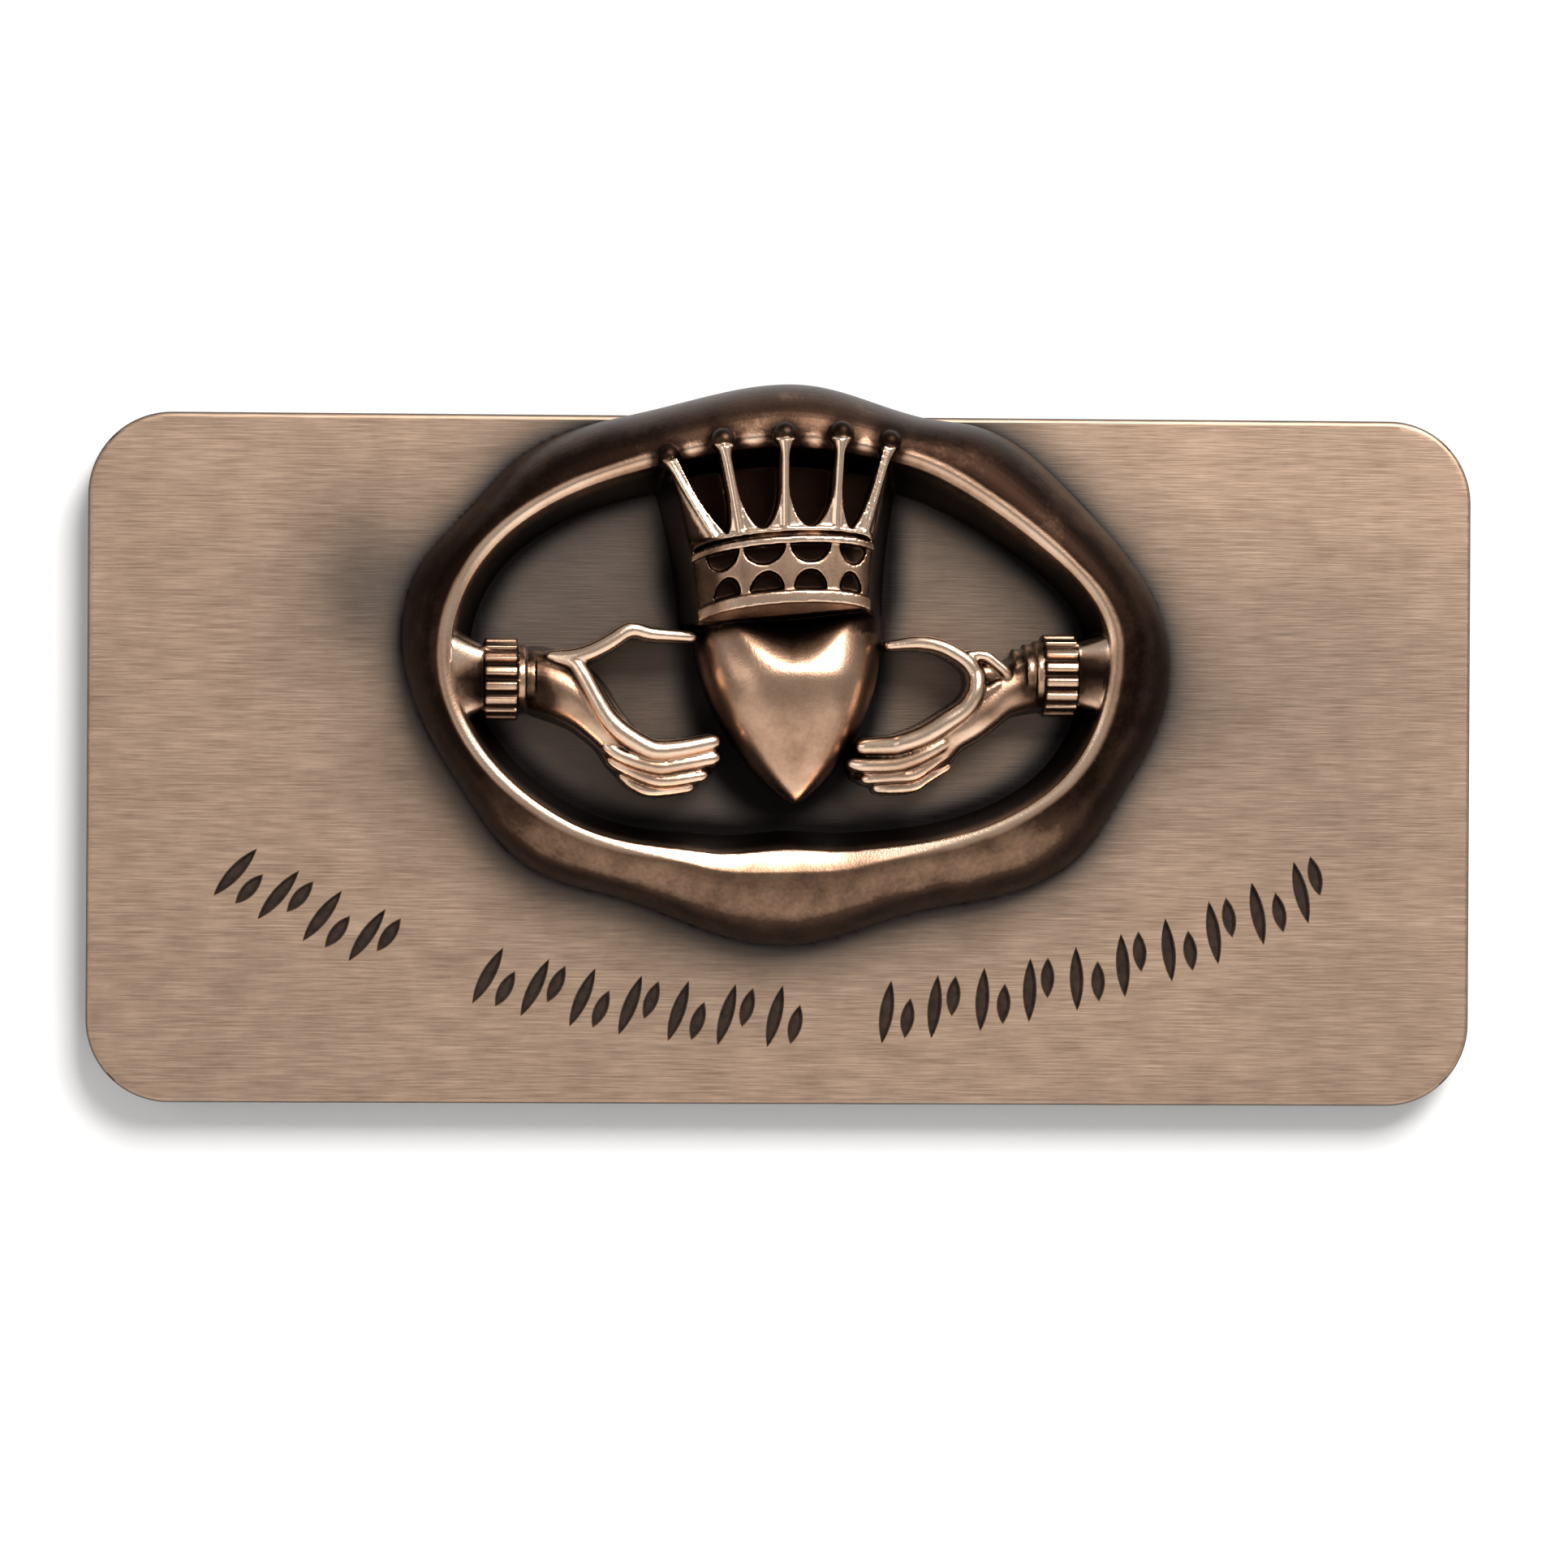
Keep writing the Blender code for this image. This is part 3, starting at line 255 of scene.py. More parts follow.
RIGHT_FINGERS = [
    [(16.3, -2.2, 0.6, 6.3), (16.3, -3.1, 0.65, 6.5), (16.1, -3.9, 0.65, 6.6), (15.3, -5.1, 0.7, 6.6),
     (13.6, -6.3, 0.75, 6.7), (11.8, -7.4, 0.75, 6.6), (9.9, -8.1, 0.72, 6.5), (9.0, -8.3, 0.72, 6.3),
     (6.6, -8.4, 0.6, 5.9)],
    [(14.6, -7.2, 0.5, 5.6), (13.7, -7.9, 0.55, 5.8), (12.2, -8.8, 0.6, 6.0), (10.7, -9.5, 0.62, 6.0),
     (9.2, -9.9, 0.62, 5.9), (6.7, -10.0, 0.58, 5.6), (5.8, -9.9, 0.5, 5.3)],
    [(14.4, -8.5, 0.42, 4.9), (13.5, -9.1, 0.46, 5.1), (12.2, -10.0, 0.5, 5.25), (10.9, -10.8, 0.52, 5.3),
     (9.2, -10.95, 0.52, 5.2), (6.9, -11.2, 0.42, 4.8)],
    [(13.9, -10.1, 0.36, 4.0), (12.2, -11.1, 0.4, 4.2), (11.0, -11.8, 0.45, 4.35), (9.2, -12.0, 0.45, 4.2),
     (7.9, -12.0, 0.4, 3.9)],
]
FINGER_FULLNESS = 1.15
RIDGE_SPREAD = 0.22
RIDGE_SEGMENTS = 18
RIDGE_STEPS_PER_POINT = 8
RIDGE_START = ((-0.95, 0.3), (-0.7, 0.7))
RIDGE_END = ((0.7, 0.7), (0.95, 0.3))

# Inscription: two slanting chisel strokes, one long and one short, at each letter place of a shallow arc
INSCRIPTION_RADIUS = 98.0 * MM
INSCRIPTION_ABOVE_FOOT = 7.6 * MM
INSCRIPTION_X = 0.3 * MM
STROKE_STARTS = (-48.7 * MM, -25.1 * MM, 9.8 * MM)
STROKE_PLACES = (4, 7, 10)
STROKE_PITCH = 4.2 * MM
STROKE_SPACING = 1.75 * MM
LONG_STROKE = 5.4 * MM
SHORT_STROKE = 3.4 * MM
SHORT_STROKE_STAGGER = 0.7 * MM
STROKE_WIDTH = 1.1 * MM
STROKE_DEPTH = 0.4 * MM
STROKE_LEAN_DEG = 14
STROKE_SIDES = 10
STROKE_RIM = 0.07 * MM
STROKE_FLOOR_SHARE = 0.55

# Polish of the relief, as a share of bare bronze, with painted light and shade mixed in. It grows with the
# height over surroundings blurred by three radii in millimetres, and with how far the surface faces the
# viewer, and shrinks under a ledge; the last two are partly painted shade on steep walls and under ledges
HEIGHT_PITCH = 0.2 * MM
HEIGHT_MARGIN = 6.0 * MM
POLISH_START = 0.16
FINE_BLUR, MIDDLE_BLUR, BROAD_BLUR = 0.45, 1.3, 3.0
POLISH_BY_FINE, POLISH_BY_MIDDLE, POLISH_BY_BROAD = 0.62, 0.28, 0.09
POLISH_AND_SHADE_BY_FACING = 0.55
FACING_NEUTRAL = 0.6
BURIED_PATINA_AND_SHADE = 0.35
HEART_POLISH = 0.14
HEART_FRONT_SHARE = 0.8
HEART_FRONT_Y = -2.4 * MM
HEART_FRONT_HALF_HEIGHT = 5.5 * MM
CROWN_SIDE_FROM, CROWN_SIDE_TO = 0.62, 0.95
CROWN_SIDE_DARKNESS = 0.7
CROWN_SIDE_SHIFT = 0.5 * MM
# Painted shade on the crown's side flanks, outside its outermost points
CROWN_FLANK_DARKNESS = 0.85
CROWN_FLANK_REACH = 4 * MM
CROWN_FLANK_FROM = 2.2
CROWN_FLANK_BELOW_TIP = 2 * MM
CROWN_FLANK_STEPS = 8
BALL_DARKNESS = 0.85
BALL_SKIN_FROM, BALL_SKIN_TO = 0.98, 1.15
BALL_SHADE_REACH = 1.9
BALL_SHADE_DARKNESS = 0.8
RIB_POLISH = 0.85
SLIT_DARKNESS = 0.8
SLIT_FROM, SLIT_TO = 0.15, 0.75
CUFF_END_WIDTH = 0.25 * MM
CUFF_END_POLISH = 0.25
PATCHES_FROM, PATCHES_TO = 0.4 * MM, 1.0 * MM

# Painted light on the band's flank: dark at the sides, partly patina and partly painted shade, with a paler
# streak that is a painted reflection, a painted sheen at the top, a painted reflection that makes it bright
# below, and painted shade towards the foot.
# A span holds the values at which a part starts, is full, starts to fade and ends: directions in degrees for
# the flank, and distances in from the crest's edge for the crest's inner side
LOWER_FLANK_SPAN = (200, 222, 318, 336)
TOP_FLANK_SPAN = (50, 80, 100, 130)
FLANK_PATINA_AND_SHADE = 0.06
TOP_FLANK_SHEEN = 0.28
LOWER_FLANK_REFLECTION = 0.41
LOWER_FLANK_FALL = 0.03
FOOT_DARKNESS = 0.26
FOOT_DARK_FROM = 0.72
FLANK_STREAK_REFLECTION = 0.09
FLANK_STREAK_PLACE = 0.62
FLANK_STREAK_WIDTH = 0.13
CREST_EDGE_FROM, CREST_EDGE_TO = 0.1 * MM, 0.6 * MM
# Painted shade on the crest's inner side, growing towards the top of the band
CREST_INNER_SPAN = (0.35 * MM, 0.75 * MM, 1.1 * MM, 1.4 * MM)
CREST_INNER_DARKNESS = 0.28
CREST_INNER_RISE = 4 * MM

# Dark patches on wrists, necks and heart, and with a darkness below 0 pale patches, of which the one on the
# heart's left lobe is a painted highlight: (x, y, half width, half height, darkness) in millimetres from the
# relief's centre. The band's own patches follow them; the pale ones on the crest between the crown's balls
# are painted highlights
DARK_AND_PALE_PATCHES = [
    (-21.2, -3.2, 1.2, 2.2, 0.35), (-20.2, -4.6, 1.0, 1.0, 0.3), (-17.4, -5.9, 0.9, 0.7, 0.15),
    (20.6, -3.4, 1.2, 1.8, 0.32), (17.7, -5.6, 1.3, 1.1, 0.32), (19.3, -1.5, 0.9, 0.8, 0.25),
    (-27.0, -3.2, 1.7, 1.4, 0.5), (26.8, -2.0, 1.6, 1.3, 0.5),
    (-5.6, 1.2, 1.5, 1.2, -0.25), (-4.4, -3.3, 1.3, 1.4, 0.2), (5.0, -5.4, 0.9, 1.6, 0.15),
    (-28.3, 0.3, 0.9, 1.5, -0.75), (-27.0, -0.6, 1.1, 0.7, -0.5), (-27.6, -5.8, 0.9, 1.2, -0.6),
    (27.7, 1.0, 0.9, 1.3, -0.75), (26.0, 0.2, 1.3, 0.6, -0.5), (27.3, -4.5, 1.2, 0.9, -0.5),
]
CREST_PATCHES = [
    (-8.6, 16.9, 0.7, 0.5, -0.5), (-3.1, 17.8, 0.8, 0.4, -0.5), (2.3, 17.6, 0.5, 0.6, -0.5),
    (6.6, 17.6, 0.5, 0.5, -0.4), (19.0, 14.2, 2.2, 1.2, 0.2), (25.5, 7.6, 2.0, 2.0, 0.2),
    (-27.4, 6.6, 2.0, 2.2, 0.12), (-16.0, 15.4, 2.5, 1.2, 0.12),
]

# Patina and painted shade of the plate: a halo round the band, partly patina and partly painted shade, and
# clouds of painted shade that stand in for dimmer reflections, given as (x, y, half width, half height,
# darkness) in millimetres from the plate's centre
HALO_REACH = 2.1 * MM
HALO_DARKNESS = 0.94
DARK_TONE_SHARE = 0.8
FLOOR_CLEAR = 0.32
# The floor inside the band is made paler towards the right as painted light
FLOOR_CLEAR_RIGHT = 0.5
FLOOR_DARK_WIDTH = 2.6 * MM
# The plate's sides are darkened as painted shade
RIM_DARK_FROM = 0.12 * MM
RIM_DARKNESS = 0.75
CLOUDS = [
    (-36.0, 14.5, 5.5, 7.0, 0.42), (-41.0, 11.0, 6.0, 9.0, 0.16), (36.0, 4.0, 8.0, 4.0, 0.14),
    (48.0, -6.0, 12.0, 5.0, 0.16), (50.0, -20.0, 10.0, 8.0, 0.12), (-34.0, -2.0, 5.0, 6.0, 0.22),
    (46.0, 9.0, 18.0, 12.0, 0.26), (-37.0, 17.0, 4.0, 6.0, 0.22),
    (0.0, -16.5, 30.0, 3.0, 0.10), (52.0, 27.0, 8.0, 3.0, 0.10),
]

# Camera, from the plate's four edges in the photograph
CAMERA_DISTANCE = 600 * MM
CAMERA_YAW_DEG = -2.96
CAMERA_ROLL_DEG = 0.313
FRAME_WIDTH = 135.83 * MM
FRAME_CENTRE = (0.2 * MM, -2.05 * MM)
SENSOR_MM = 36.0

# Light: places and sizes in metres, powers in watts
KEY_PLACE = (0.28, -0.62, 0.56)
KEY_SIZE = 0.48
KEY_POWER = 13.6
KEY_COLOR = (1.0, 0.985, 0.96)
FILL_PLACE = (-0.55, -0.6, 0.05)
FILL_SIZE = 0.5
FILL_POWER = 1.0
SURROUNDING_STRENGTH = 0.33

# Wall and floor
WALL_SIZE = 4.0
WALL_GAP = 0.3 * MM
FLOOR_DROP = 0.35
WALL_HOLE_INSET = 1.0 * MM

CLEARANCE_CUT = 1.0 * MM
WELD = 0.01 * MM
SIDEWAYS = Matrix(((0, 0, 1, 0), (1, 0, 0, 0), (0, 1, 0, 0), (0, 0, 0, 1)))
STAND = Matrix.Rotation(pi / 2, 4, "X")


def linked(name, data):
    """A new object in the scene."""
    made = bpy.data.objects.new(name, data)
    bpy.context.scene.collection.objects.link(made)
    return made


def mesh_object(name, bm, outwards=True):
    """A new object from a bmesh, with its faces turned outwards unless they are set already."""
    if outwards:
        bmesh.ops.recalc_face_normals(bm, faces=bm.faces)
    mesh = bpy.data.meshes.new(name)
    bm.to_mesh(mesh)
    bm.free()
    return linked(name, mesh)


def evaluated_mesh(thing):
    depsgraph = bpy.context.evaluated_depsgraph_get()
    return bpy.data.meshes.new_from_object(thing.evaluated_get(depsgraph))


def apply_modifiers(thing):
    """Gives the object its evaluated mesh, and drops the modifiers."""
    mesh = evaluated_mesh(thing)
    thing.modifiers.clear()
    thing.data = mesh
    return thing


def loft(name, rings, closed=False):
    """A solid through equal rings of points: a loop if it is closed, or else with a flat cap at each end."""
    bm = bmesh.new()
    rows = [[bm.verts.new(point) for point in ring] for ring in rings]
    spans = len(rows) if closed else len(rows) - 1
    for i in range(spans):
        here = rows[i]
        after = rows[(i + 1) % len(rows)]
        for j in range(len(here)):
            k = (j + 1) % len(here)
            bm.faces.new((here[j], here[k], after[k], after[j]))
    if not closed:
        bm.faces.new(rows[0])
        bm.faces.new(reversed(rows[-1]))
    return mesh_object(name, bm)


def prism(name, outline, low, high):
    """A straight prism over a flat outline of (x, y) pairs, between two heights."""
    curve = bpy.data.curves.new(name, "CURVE")
    curve.dimensions = "2D"
    curve.fill_mode = "BOTH"
    curve.extrude = (high - low) / 2
    spline = curve.splines.new("POLY")
    spline.points.add(len(outline) - 1)
    for point, (x, y) in zip(spline.points, outline):
        point.co = (x, y, 0, 1)
    spline.use_cyclic_u = True
    drawn = linked(name, curve)
    bm = bmesh.new()
    bm.from_mesh(evaluated_mesh(drawn))
    bpy.data.objects.remove(drawn, do_unlink=True)
    bmesh.ops.remove_doubles(bm, verts=bm.verts, dist=WELD)
    bmesh.ops.translate(bm, vec=(0, 0, (low + high) / 2), verts=bm.verts)
    return mesh_object(name, bm)


def cut(target, tool):
    """Cuts the tool out of the target, and removes the tool."""
    modifier = target.modifiers.new(tool.name, "BOOLEAN")
    modifier.operation = "DIFFERENCE"
    modifier.solver = "EXACT"
    modifier.object = tool
    apply_modifiers(target)
    bpy.data.objects.remove(tool, do_unlink=True)
    return target


def swell(angle, table):
    """A wavy outline's height over its oval, eased between the table's (degrees, height) pairs."""
    turn = degrees(angle) % 360
    for i, (start, low) in enumerate(table):
        end, high = table[(i + 1) % len(table)]
        span = (end - start) % 360
        along = (turn - start) % 360
        if along < span:
            return low + (high - low) * (1 - cos(pi * along / span)) / 2
    return table[0][1]


def oval(angle, rx, ry, table):
    return 1.0 / hypot(cos(angle) / rx, sin(angle) / ry) + swell(angle, table)


def band_section(angle):
    """Foot, outer crest, inner crest and inner foot of the band in one direction, and its share of lap."""
    toward = Vector((cos(angle), sin(angle), 0))
    above = 0.5 + 0.5 * sin(angle)
    lap = max(0.0, -sin(angle)) ** LAP_NARROWNESS
    foot = toward * oval(angle, BAND_FOOT_RX, BAND_FOOT_RY, FOOT_SWELLS)
    foot += Vector((BAND_FOOT_SHIFT_X, -BAND_FOOT_DROP, 0))
    crest = toward * (oval(angle, BAND_CREST_RX, BAND_CREST_RY, CREST_SWELLS) + LAP_REACH * lap)
    width = BAND_CREST_WIDTH_BELOW + (BAND_CREST_WIDTH_ABOVE - BAND_CREST_WIDTH_BELOW) * above
    inner_crest = crest - toward * (width + LAP_WIDTH * lap)
    draft = BAND_INNER_DRAFT + BAND_INNER_DRAFT_ABOVE * max(0.0, sin(angle)) ** 2
    return foot, crest, inner_crest, inner_crest - toward * draft, lap


def make_band():
    """A rounded flank outside, a narrow crest that falls inwards, and a straight draft inside."""
    rings = []
    root = Vector((0, 0, ROOT_DEPTH))
    for i in range(BAND_STEPS):
        angle = 2 * pi * i / BAND_STEPS
        foot, crest, inner_crest, inner, lap = band_section(angle)
        above = 0.5 + 0.5 * sin(angle)
        bead = BAND_BEAD_RISE * above
        fall = BAND_CREST_FALL * above
        ring = [foot - root]
        for step in range(FLANK_STEPS + 1):
            turn = pi / 2 * step / FLANK_STEPS
            ring.append(foot.lerp(crest, 1 - cos(turn)) + Vector((0, 0, BAND_RISE * sin(turn))))
        for step in range(1, BEAD_STEPS + 1):
            turn = pi * step / BEAD_STEPS
            across = (1 - cos(turn)) / 2
            up = BAND_RISE + bead * sin(turn) - (LAP_DIP * lap + fall * (1 - lap)) * across
            ring.append(crest.lerp(inner_crest, across) + Vector((0, 0, up)))
        ring.append(inner)
        ring.append(inner - root)
        rings.append(ring)
    return loft("band", rings, closed=True)


def arch(half_width, rise, segments=ARCH_SEGMENTS, squareness=ARCH_SQUARENESS):
    """Half a superellipse as (across, up) pairs, from one foot over the top to the other."""
    points = []
    for i in range(segments + 1):
        turn = pi * i / segments
        across = -half_width * abs(cos(turn)) ** (2 / squareness) * (1 if cos(turn) > 0 else -1)
        points.append((across, rise * abs(sin(turn)) ** (2 / squareness)))
    return points


def spline_value(before, start, end, after, t):
    """One number of a Catmull-Rom curve, a share t of the way from start to end."""
    slope = (end - before) / 2
    next_slope = (after - start) / 2
    rest = end - start
    curve = (3 * rest - 2 * slope - next_slope) * t**2 + (slope + next_slope - 2 * rest) * t**3
    return start + slope * t + curve


def smooth_path(points):
    """A Catmull-Rom curve through tuples of numbers."""
    path = [points[0]] + list(points) + [points[-1]]
    result = []
    for i in range(1, len(path) - 2):
        for k in range(RIDGE_STEPS_PER_POINT):
            share = k / RIDGE_STEPS_PER_POINT
            result.append(tuple(spline_value(*values, share) for values in zip(*path[i - 1:i + 3])))
    result.append(tuple(points[-1]))
    return result


def ridge_ring(middle, across, half_width, rise):
    """A ridge's section: a round top on straight sides that spread a little towards the root."""
    foot = half_width * (1 + RIDGE_SPREAD)
    shoulder = rise - half_width
    ring = [middle - across * foot - Vector((0, 0, ROOT_DEPTH))]
    for i in range(RIDGE_SEGMENTS + 1):
        turn = pi * i / RIDGE_SEGMENTS
        up = Vector((0, 0, shoulder + half_width * sin(turn)))
        ring.append(middle - across * (half_width * cos(turn)) + up)
    ring.append(middle + across * foot - Vector((0, 0, ROOT_DEPTH)))
    return ring


def ridge(name, points_mm, fullness):
    """A round-topped ridge along a path, its half widths scaled by a fullness, down to the root."""
    path = smooth_path([[value * MM for value in point] for point in points_mm])
    rings = []
    last = len(path) - 1
    for i, (x, y, drawn_half_width, rise) in enumerate(path):
        half_width = drawn_half_width * fullness
        x0, y0 = path[max(i - 1, 0)][:2]
        x1, y1 = path[min(i + 1, last)][:2]
        heading = atan2(y1 - y0, x1 - x0)
        along = Vector((cos(heading), sin(heading), 0))
        across = Vector((-sin(heading), cos(heading), 0))
        start = RIDGE_START if i == 0 else ()
        end = RIDGE_END if i == last else ()
        for reach, share in (*start, (0, 1), *end):
            drop = half_width * (1 - share)
            spot = Vector((x, y, 0)) + along * half_width * reach
            rings.append(ridge_ring(spot, across, half_width * share, rise - drop))
    return loft(name, rings)


def make_ridges(name, paths, fullness=1.0):
    return [ridge(f"{name}_{number}", path, fullness) for number, path in enumerate(paths)]


def sleeve(name, centre_y, x_start, x_end, section):
    """A solid that carries one (across, up) section from x_start to x_end, over the height centre_y."""
    outline = [(centre_y + across, up) for across, up in section]
    made = prism(name, outline, min(x_start, x_end), max(x_start, x_end))
    made.data.transform(SIDEWAYS)
    return made


def rooted(section):
    """The section with its two feet carried down to the relief's root."""
    return [(section[0][0], -ROOT_DEPTH)] + section + [(section[-1][0], -ROOT_DEPTH)]


def ribbed_arch():
    """The cuff's section: ribs with a narrow groove between them."""
    section = [(-CUFF_HALF_HEIGHT, -ROOT_DEPTH)]
    for rib in range(CUFF_RIBS):
        for share, sunk in RIB_PROFILE:
            inset = CUFF_RIB_DEPTH * sunk
            turn = pi * (rib + share) / CUFF_RIBS
            up = (CUFF_RISE - inset) * sin(turn) ** CUFF_ROUNDNESS
            section.append((-(CUFF_HALF_HEIGHT - inset) * cos(turn), up))
    section.append((CUFF_HALF_HEIGHT, -ROOT_DEPTH))
    return section


def make_neck(side, direction, start_x, centre_y):
    """The neck between cuff and band: it widens and rises towards the band's crest."""
    rings = []
    for i in range(NECK_STEPS + 1):
        x = start_x + (NECK_END - start_x) * i / NECK_STEPS
        flare = (i / NECK_STEPS) ** NECK_CURVE
        half_height = NECK_HALF_HEIGHT + NECK_FLARE * flare
        rise = NECK_RISE + NECK_SWEEP * flare
        section = rooted(arch(half_height, rise, squareness=NECK_SQUARENESS))
        rings.append([Vector((direction * x, centre_y + across, up)) for across, up in section])
    return loft(f"{side}_neck", rings)


def make_cuff(side, direction, near_x, centre_y):
    """Neck, ribbed sleeve and collars on one side; direction is -1 on the left and 1 on the right."""
    def along(name, start, end, section):
        return sleeve(f"{side}_{name}", centre_y, direction * start, direction * end, section)

    far_x = near_x + CUFF_LENGTH
    reach = len(COLLAR_HALF_HEIGHTS) * (COLLAR_WIDTH + COLLAR_GAP)
    core = rooted(arch(COLLAR_HALF_HEIGHTS[-1] - CORE_INSET, CUFF_RISE - CORE_DROP))
    pieces = [
        make_neck(side, direction, far_x - NECK_OVERLAP, centre_y),
        along("cuff", near_x, far_x, ribbed_arch()),
        along("core", near_x - reach - NECK_OVERLAP, near_x + NECK_OVERLAP, core),
    ]
    for number, half_height in enumerate(COLLAR_HALF_HEIGHTS):
        start = near_x - COLLAR_GAP / 2 - number * (COLLAR_WIDTH + COLLAR_GAP)
        section = rooted(arch(half_height, CUFF_RISE - (number + 1) * COLLAR_STEP_DOWN))
        pieces.append(along(f"collar_{number}", start, start - COLLAR_WIDTH, section))
    return pieces


def heart_half_width(y):
    share = (y - HEART_TIP_Y) / (HEART_WIDE_Y - HEART_TIP_Y)
    if share >= 1:
        return HEART_HALF_WIDTH
    return HEART_HALF_WIDTH * sin(pi / 2 * max(share, HEART_TIP_START)) ** HEART_POINTEDNESS


def heart_rise(x, y):
    """The heart's height at a point: full at its front, lower at its tip and shoulders, with a cleft."""
    share = (y - HEART_TIP_Y) / (HEART_TOP_Y - HEART_TIP_Y)
    fullness = sin(pi / 2 * min(1.0, share / HEART_SHOULDER_SHARE)) ** HEART_FRONT_CURVE
    rise = HEART_RISE * (HEART_TIP_RISE_SHARE + (1 - HEART_TIP_RISE_SHARE) * fullness)
    back = max(0.0, (share - HEART_SHOULDER_SHARE) / (1 - HEART_SHOULDER_SHARE))
    rise -= HEART_TOP_DROP * back**HEART_TOP_CURVE
    open_share = max(0.0, (y - CLEFT_LOW_Y) / (HEART_TOP_Y - CLEFT_LOW_Y))
    half_width = CLEFT_HALF_WIDTH * (CLEFT_LOW_WIDTH_SHARE + (1 - CLEFT_LOW_WIDTH_SHARE) * open_share)
    spread = hypot((x - CLEFT_X) / half_width, CLEFT_SOFTNESS) - CLEFT_SOFTNESS
    depth = CLEFT_DEPTH * open_share**CLEFT_START_CURVE
    return rise - depth * max(0.0, 1 - spread) ** CLEFT_RIM_CURVE


def make_heart():
    rings = []
    for row in range(HEART_ROWS + 1):
        share = (row / HEART_ROWS) ** HEART_ROW_CURVE
        y = HEART_TIP_Y + (HEART_TOP_Y - HEART_TIP_Y) * share
        ring = []
        for x, up in arch(heart_half_width(y), 1.0, HEART_COLUMNS, HEART_SQUARENESS):
            ring.append(Vector((HEART_X + HEART_LEAN * (1 - share) + x, y, up * heart_rise(x, y))))
        left = Vector((ring[0].x, y, -ROOT_DEPTH))
        right = Vector((ring[-1].x, y, -ROOT_DEPTH))
        rings.append([left] + ring + [right])
    return loft("heart", rings)


def crown_point(turn, y, proud=0.0):
    """A point of the crown's bowed, flaring face: turn is the angle round it from its front, in radians."""
    flare = max(0.0, (y - CROWN_BASE_Y) / (CROWN_TIP_Y - CROWN_BASE_Y)) ** CROWN_FLARE_CURVE
    half_width = CROWN_BASE_HALF_WIDTH + (CROWN_TIP_HALF_WIDTH - CROWN_BASE_HALF_WIDTH) * flare + proud
    across = half_width * sin(turn)
    up = y - CROWN_BASE_Y + CROWN_BOW * cos(turn)
    x = CROWN_X + across * cos(radians(CROWN_TILT_DEG)) - up * sin(radians(CROWN_LEAN_DEG))
    rise = CROWN_SIDE_RISE + (CROWN_FRONT_RISE - CROWN_SIDE_RISE) * cos(turn) + proud
    return Vector((x, CROWN_BASE_Y + across * sin(radians(CROWN_TILT_DEG)) + up, rise))


def crown_block():
    rings = []
    for row in range(CROWN_ROWS + 1):
        y = CROWN_BASE_Y + (CROWN_TIP_Y - CROWN_BASE_Y) * row / CROWN_ROWS
        setback = GAP_SETBACK if y > CROWN_GROOVE_Y + GROOVE_WIDTH else 0.0
        ring = []
        for i in range(CROWN_COLUMNS + 1):
            point = crown_point(pi * (i / CROWN_COLUMNS - 0.5), y)
            ring.append(point - Vector((0, 0, setback)))
        left = Vector((ring[0].x - CROWN_FOOT_SPREAD, ring[0].y, -ROOT_DEPTH))
        right = Vector((ring[-1].x + CROWN_FOOT_SPREAD, ring[-1].y, -ROOT_DEPTH))
        rings.append([left] + ring + [right])
    return loft("crown", rings)


def crown_hoop(name, low, high, depth, proud):
    """A strip that follows the crown's face between two heights, from a depth below it to proud of it."""
    rings = []
    for i in range(CROWN_COLUMNS + 1):
        turn = radians(HOOP_REACH_DEG) * (2 * i / CROWN_COLUMNS - 1)
        rings.append([crown_point(turn, low, -depth), crown_point(turn, low, proud),
                      crown_point(turn, high, proud), crown_point(turn, high, -depth)])
    return loft(name, rings)


def crown_window(name, turn, y, half_width, upright):
    """A cutter for one half-round window, its flat side below if it is upright and above if it isn't."""
    face = crown_point(turn, y)
    slope = radians(CROWN_TILT_DEG) - CROWN_BOW / CROWN_BASE_HALF_WIDTH * tan(turn)
    outline = []
    for i in range(WINDOW_SIDES + 1):
        angle = pi * i / WINDOW_SIDES
        across = half_width * cos(turn) * cos(angle)
        height = WINDOW_HEIGHT * sin(angle) * (1 if upright else -1)
        outline.append((face.x + across, face.y + height + across * slope))
    return prism(name, outline, face.z - WINDOW_DEPTH, CROWN_FRONT_RISE + CLEARANCE_CUT)


def point_turn(number, share):
    """The direction of one of the crown's points, from its foot at 0 to its tip at 1."""
    foot, tip = POINT_TURNS_DEG[number]
    return radians(foot + (tip - foot) * share)


def crown_gap(number):
    """A cutter for the U-shaped gap between a point of the crown and the next one."""
    left, right = [], []
    for i in range(GAP_STEPS + 1):
        share = GAP_REACH_SHARE * (i / GAP_STEPS) ** GAP_STEP_CURVE
        y = POINT_START_Y + (CROWN_TIP_Y - POINT_START_Y) * share
        start = crown_point(point_turn(number, share), y)
        end = crown_point(point_turn(number + 1, share), y)
        middle = (start + end) / 2
        open_share = sqrt(1 - (1 - min(1.0, share / GAP_ROUND_SHARE)) ** 2)
        half_gap = max(((end.x - start.x) / 2 - POINT_HALF_WIDTH) * open_share, WELD)
        left.append((middle.x - half_gap, middle.y))
        right.append((middle.x + half_gap, middle.y))
    return prism(f"gap_{number}", left + right[::-1], CROWN_BACK_RISE, CROWN_FRONT_RISE + CLEARANCE_CUT)


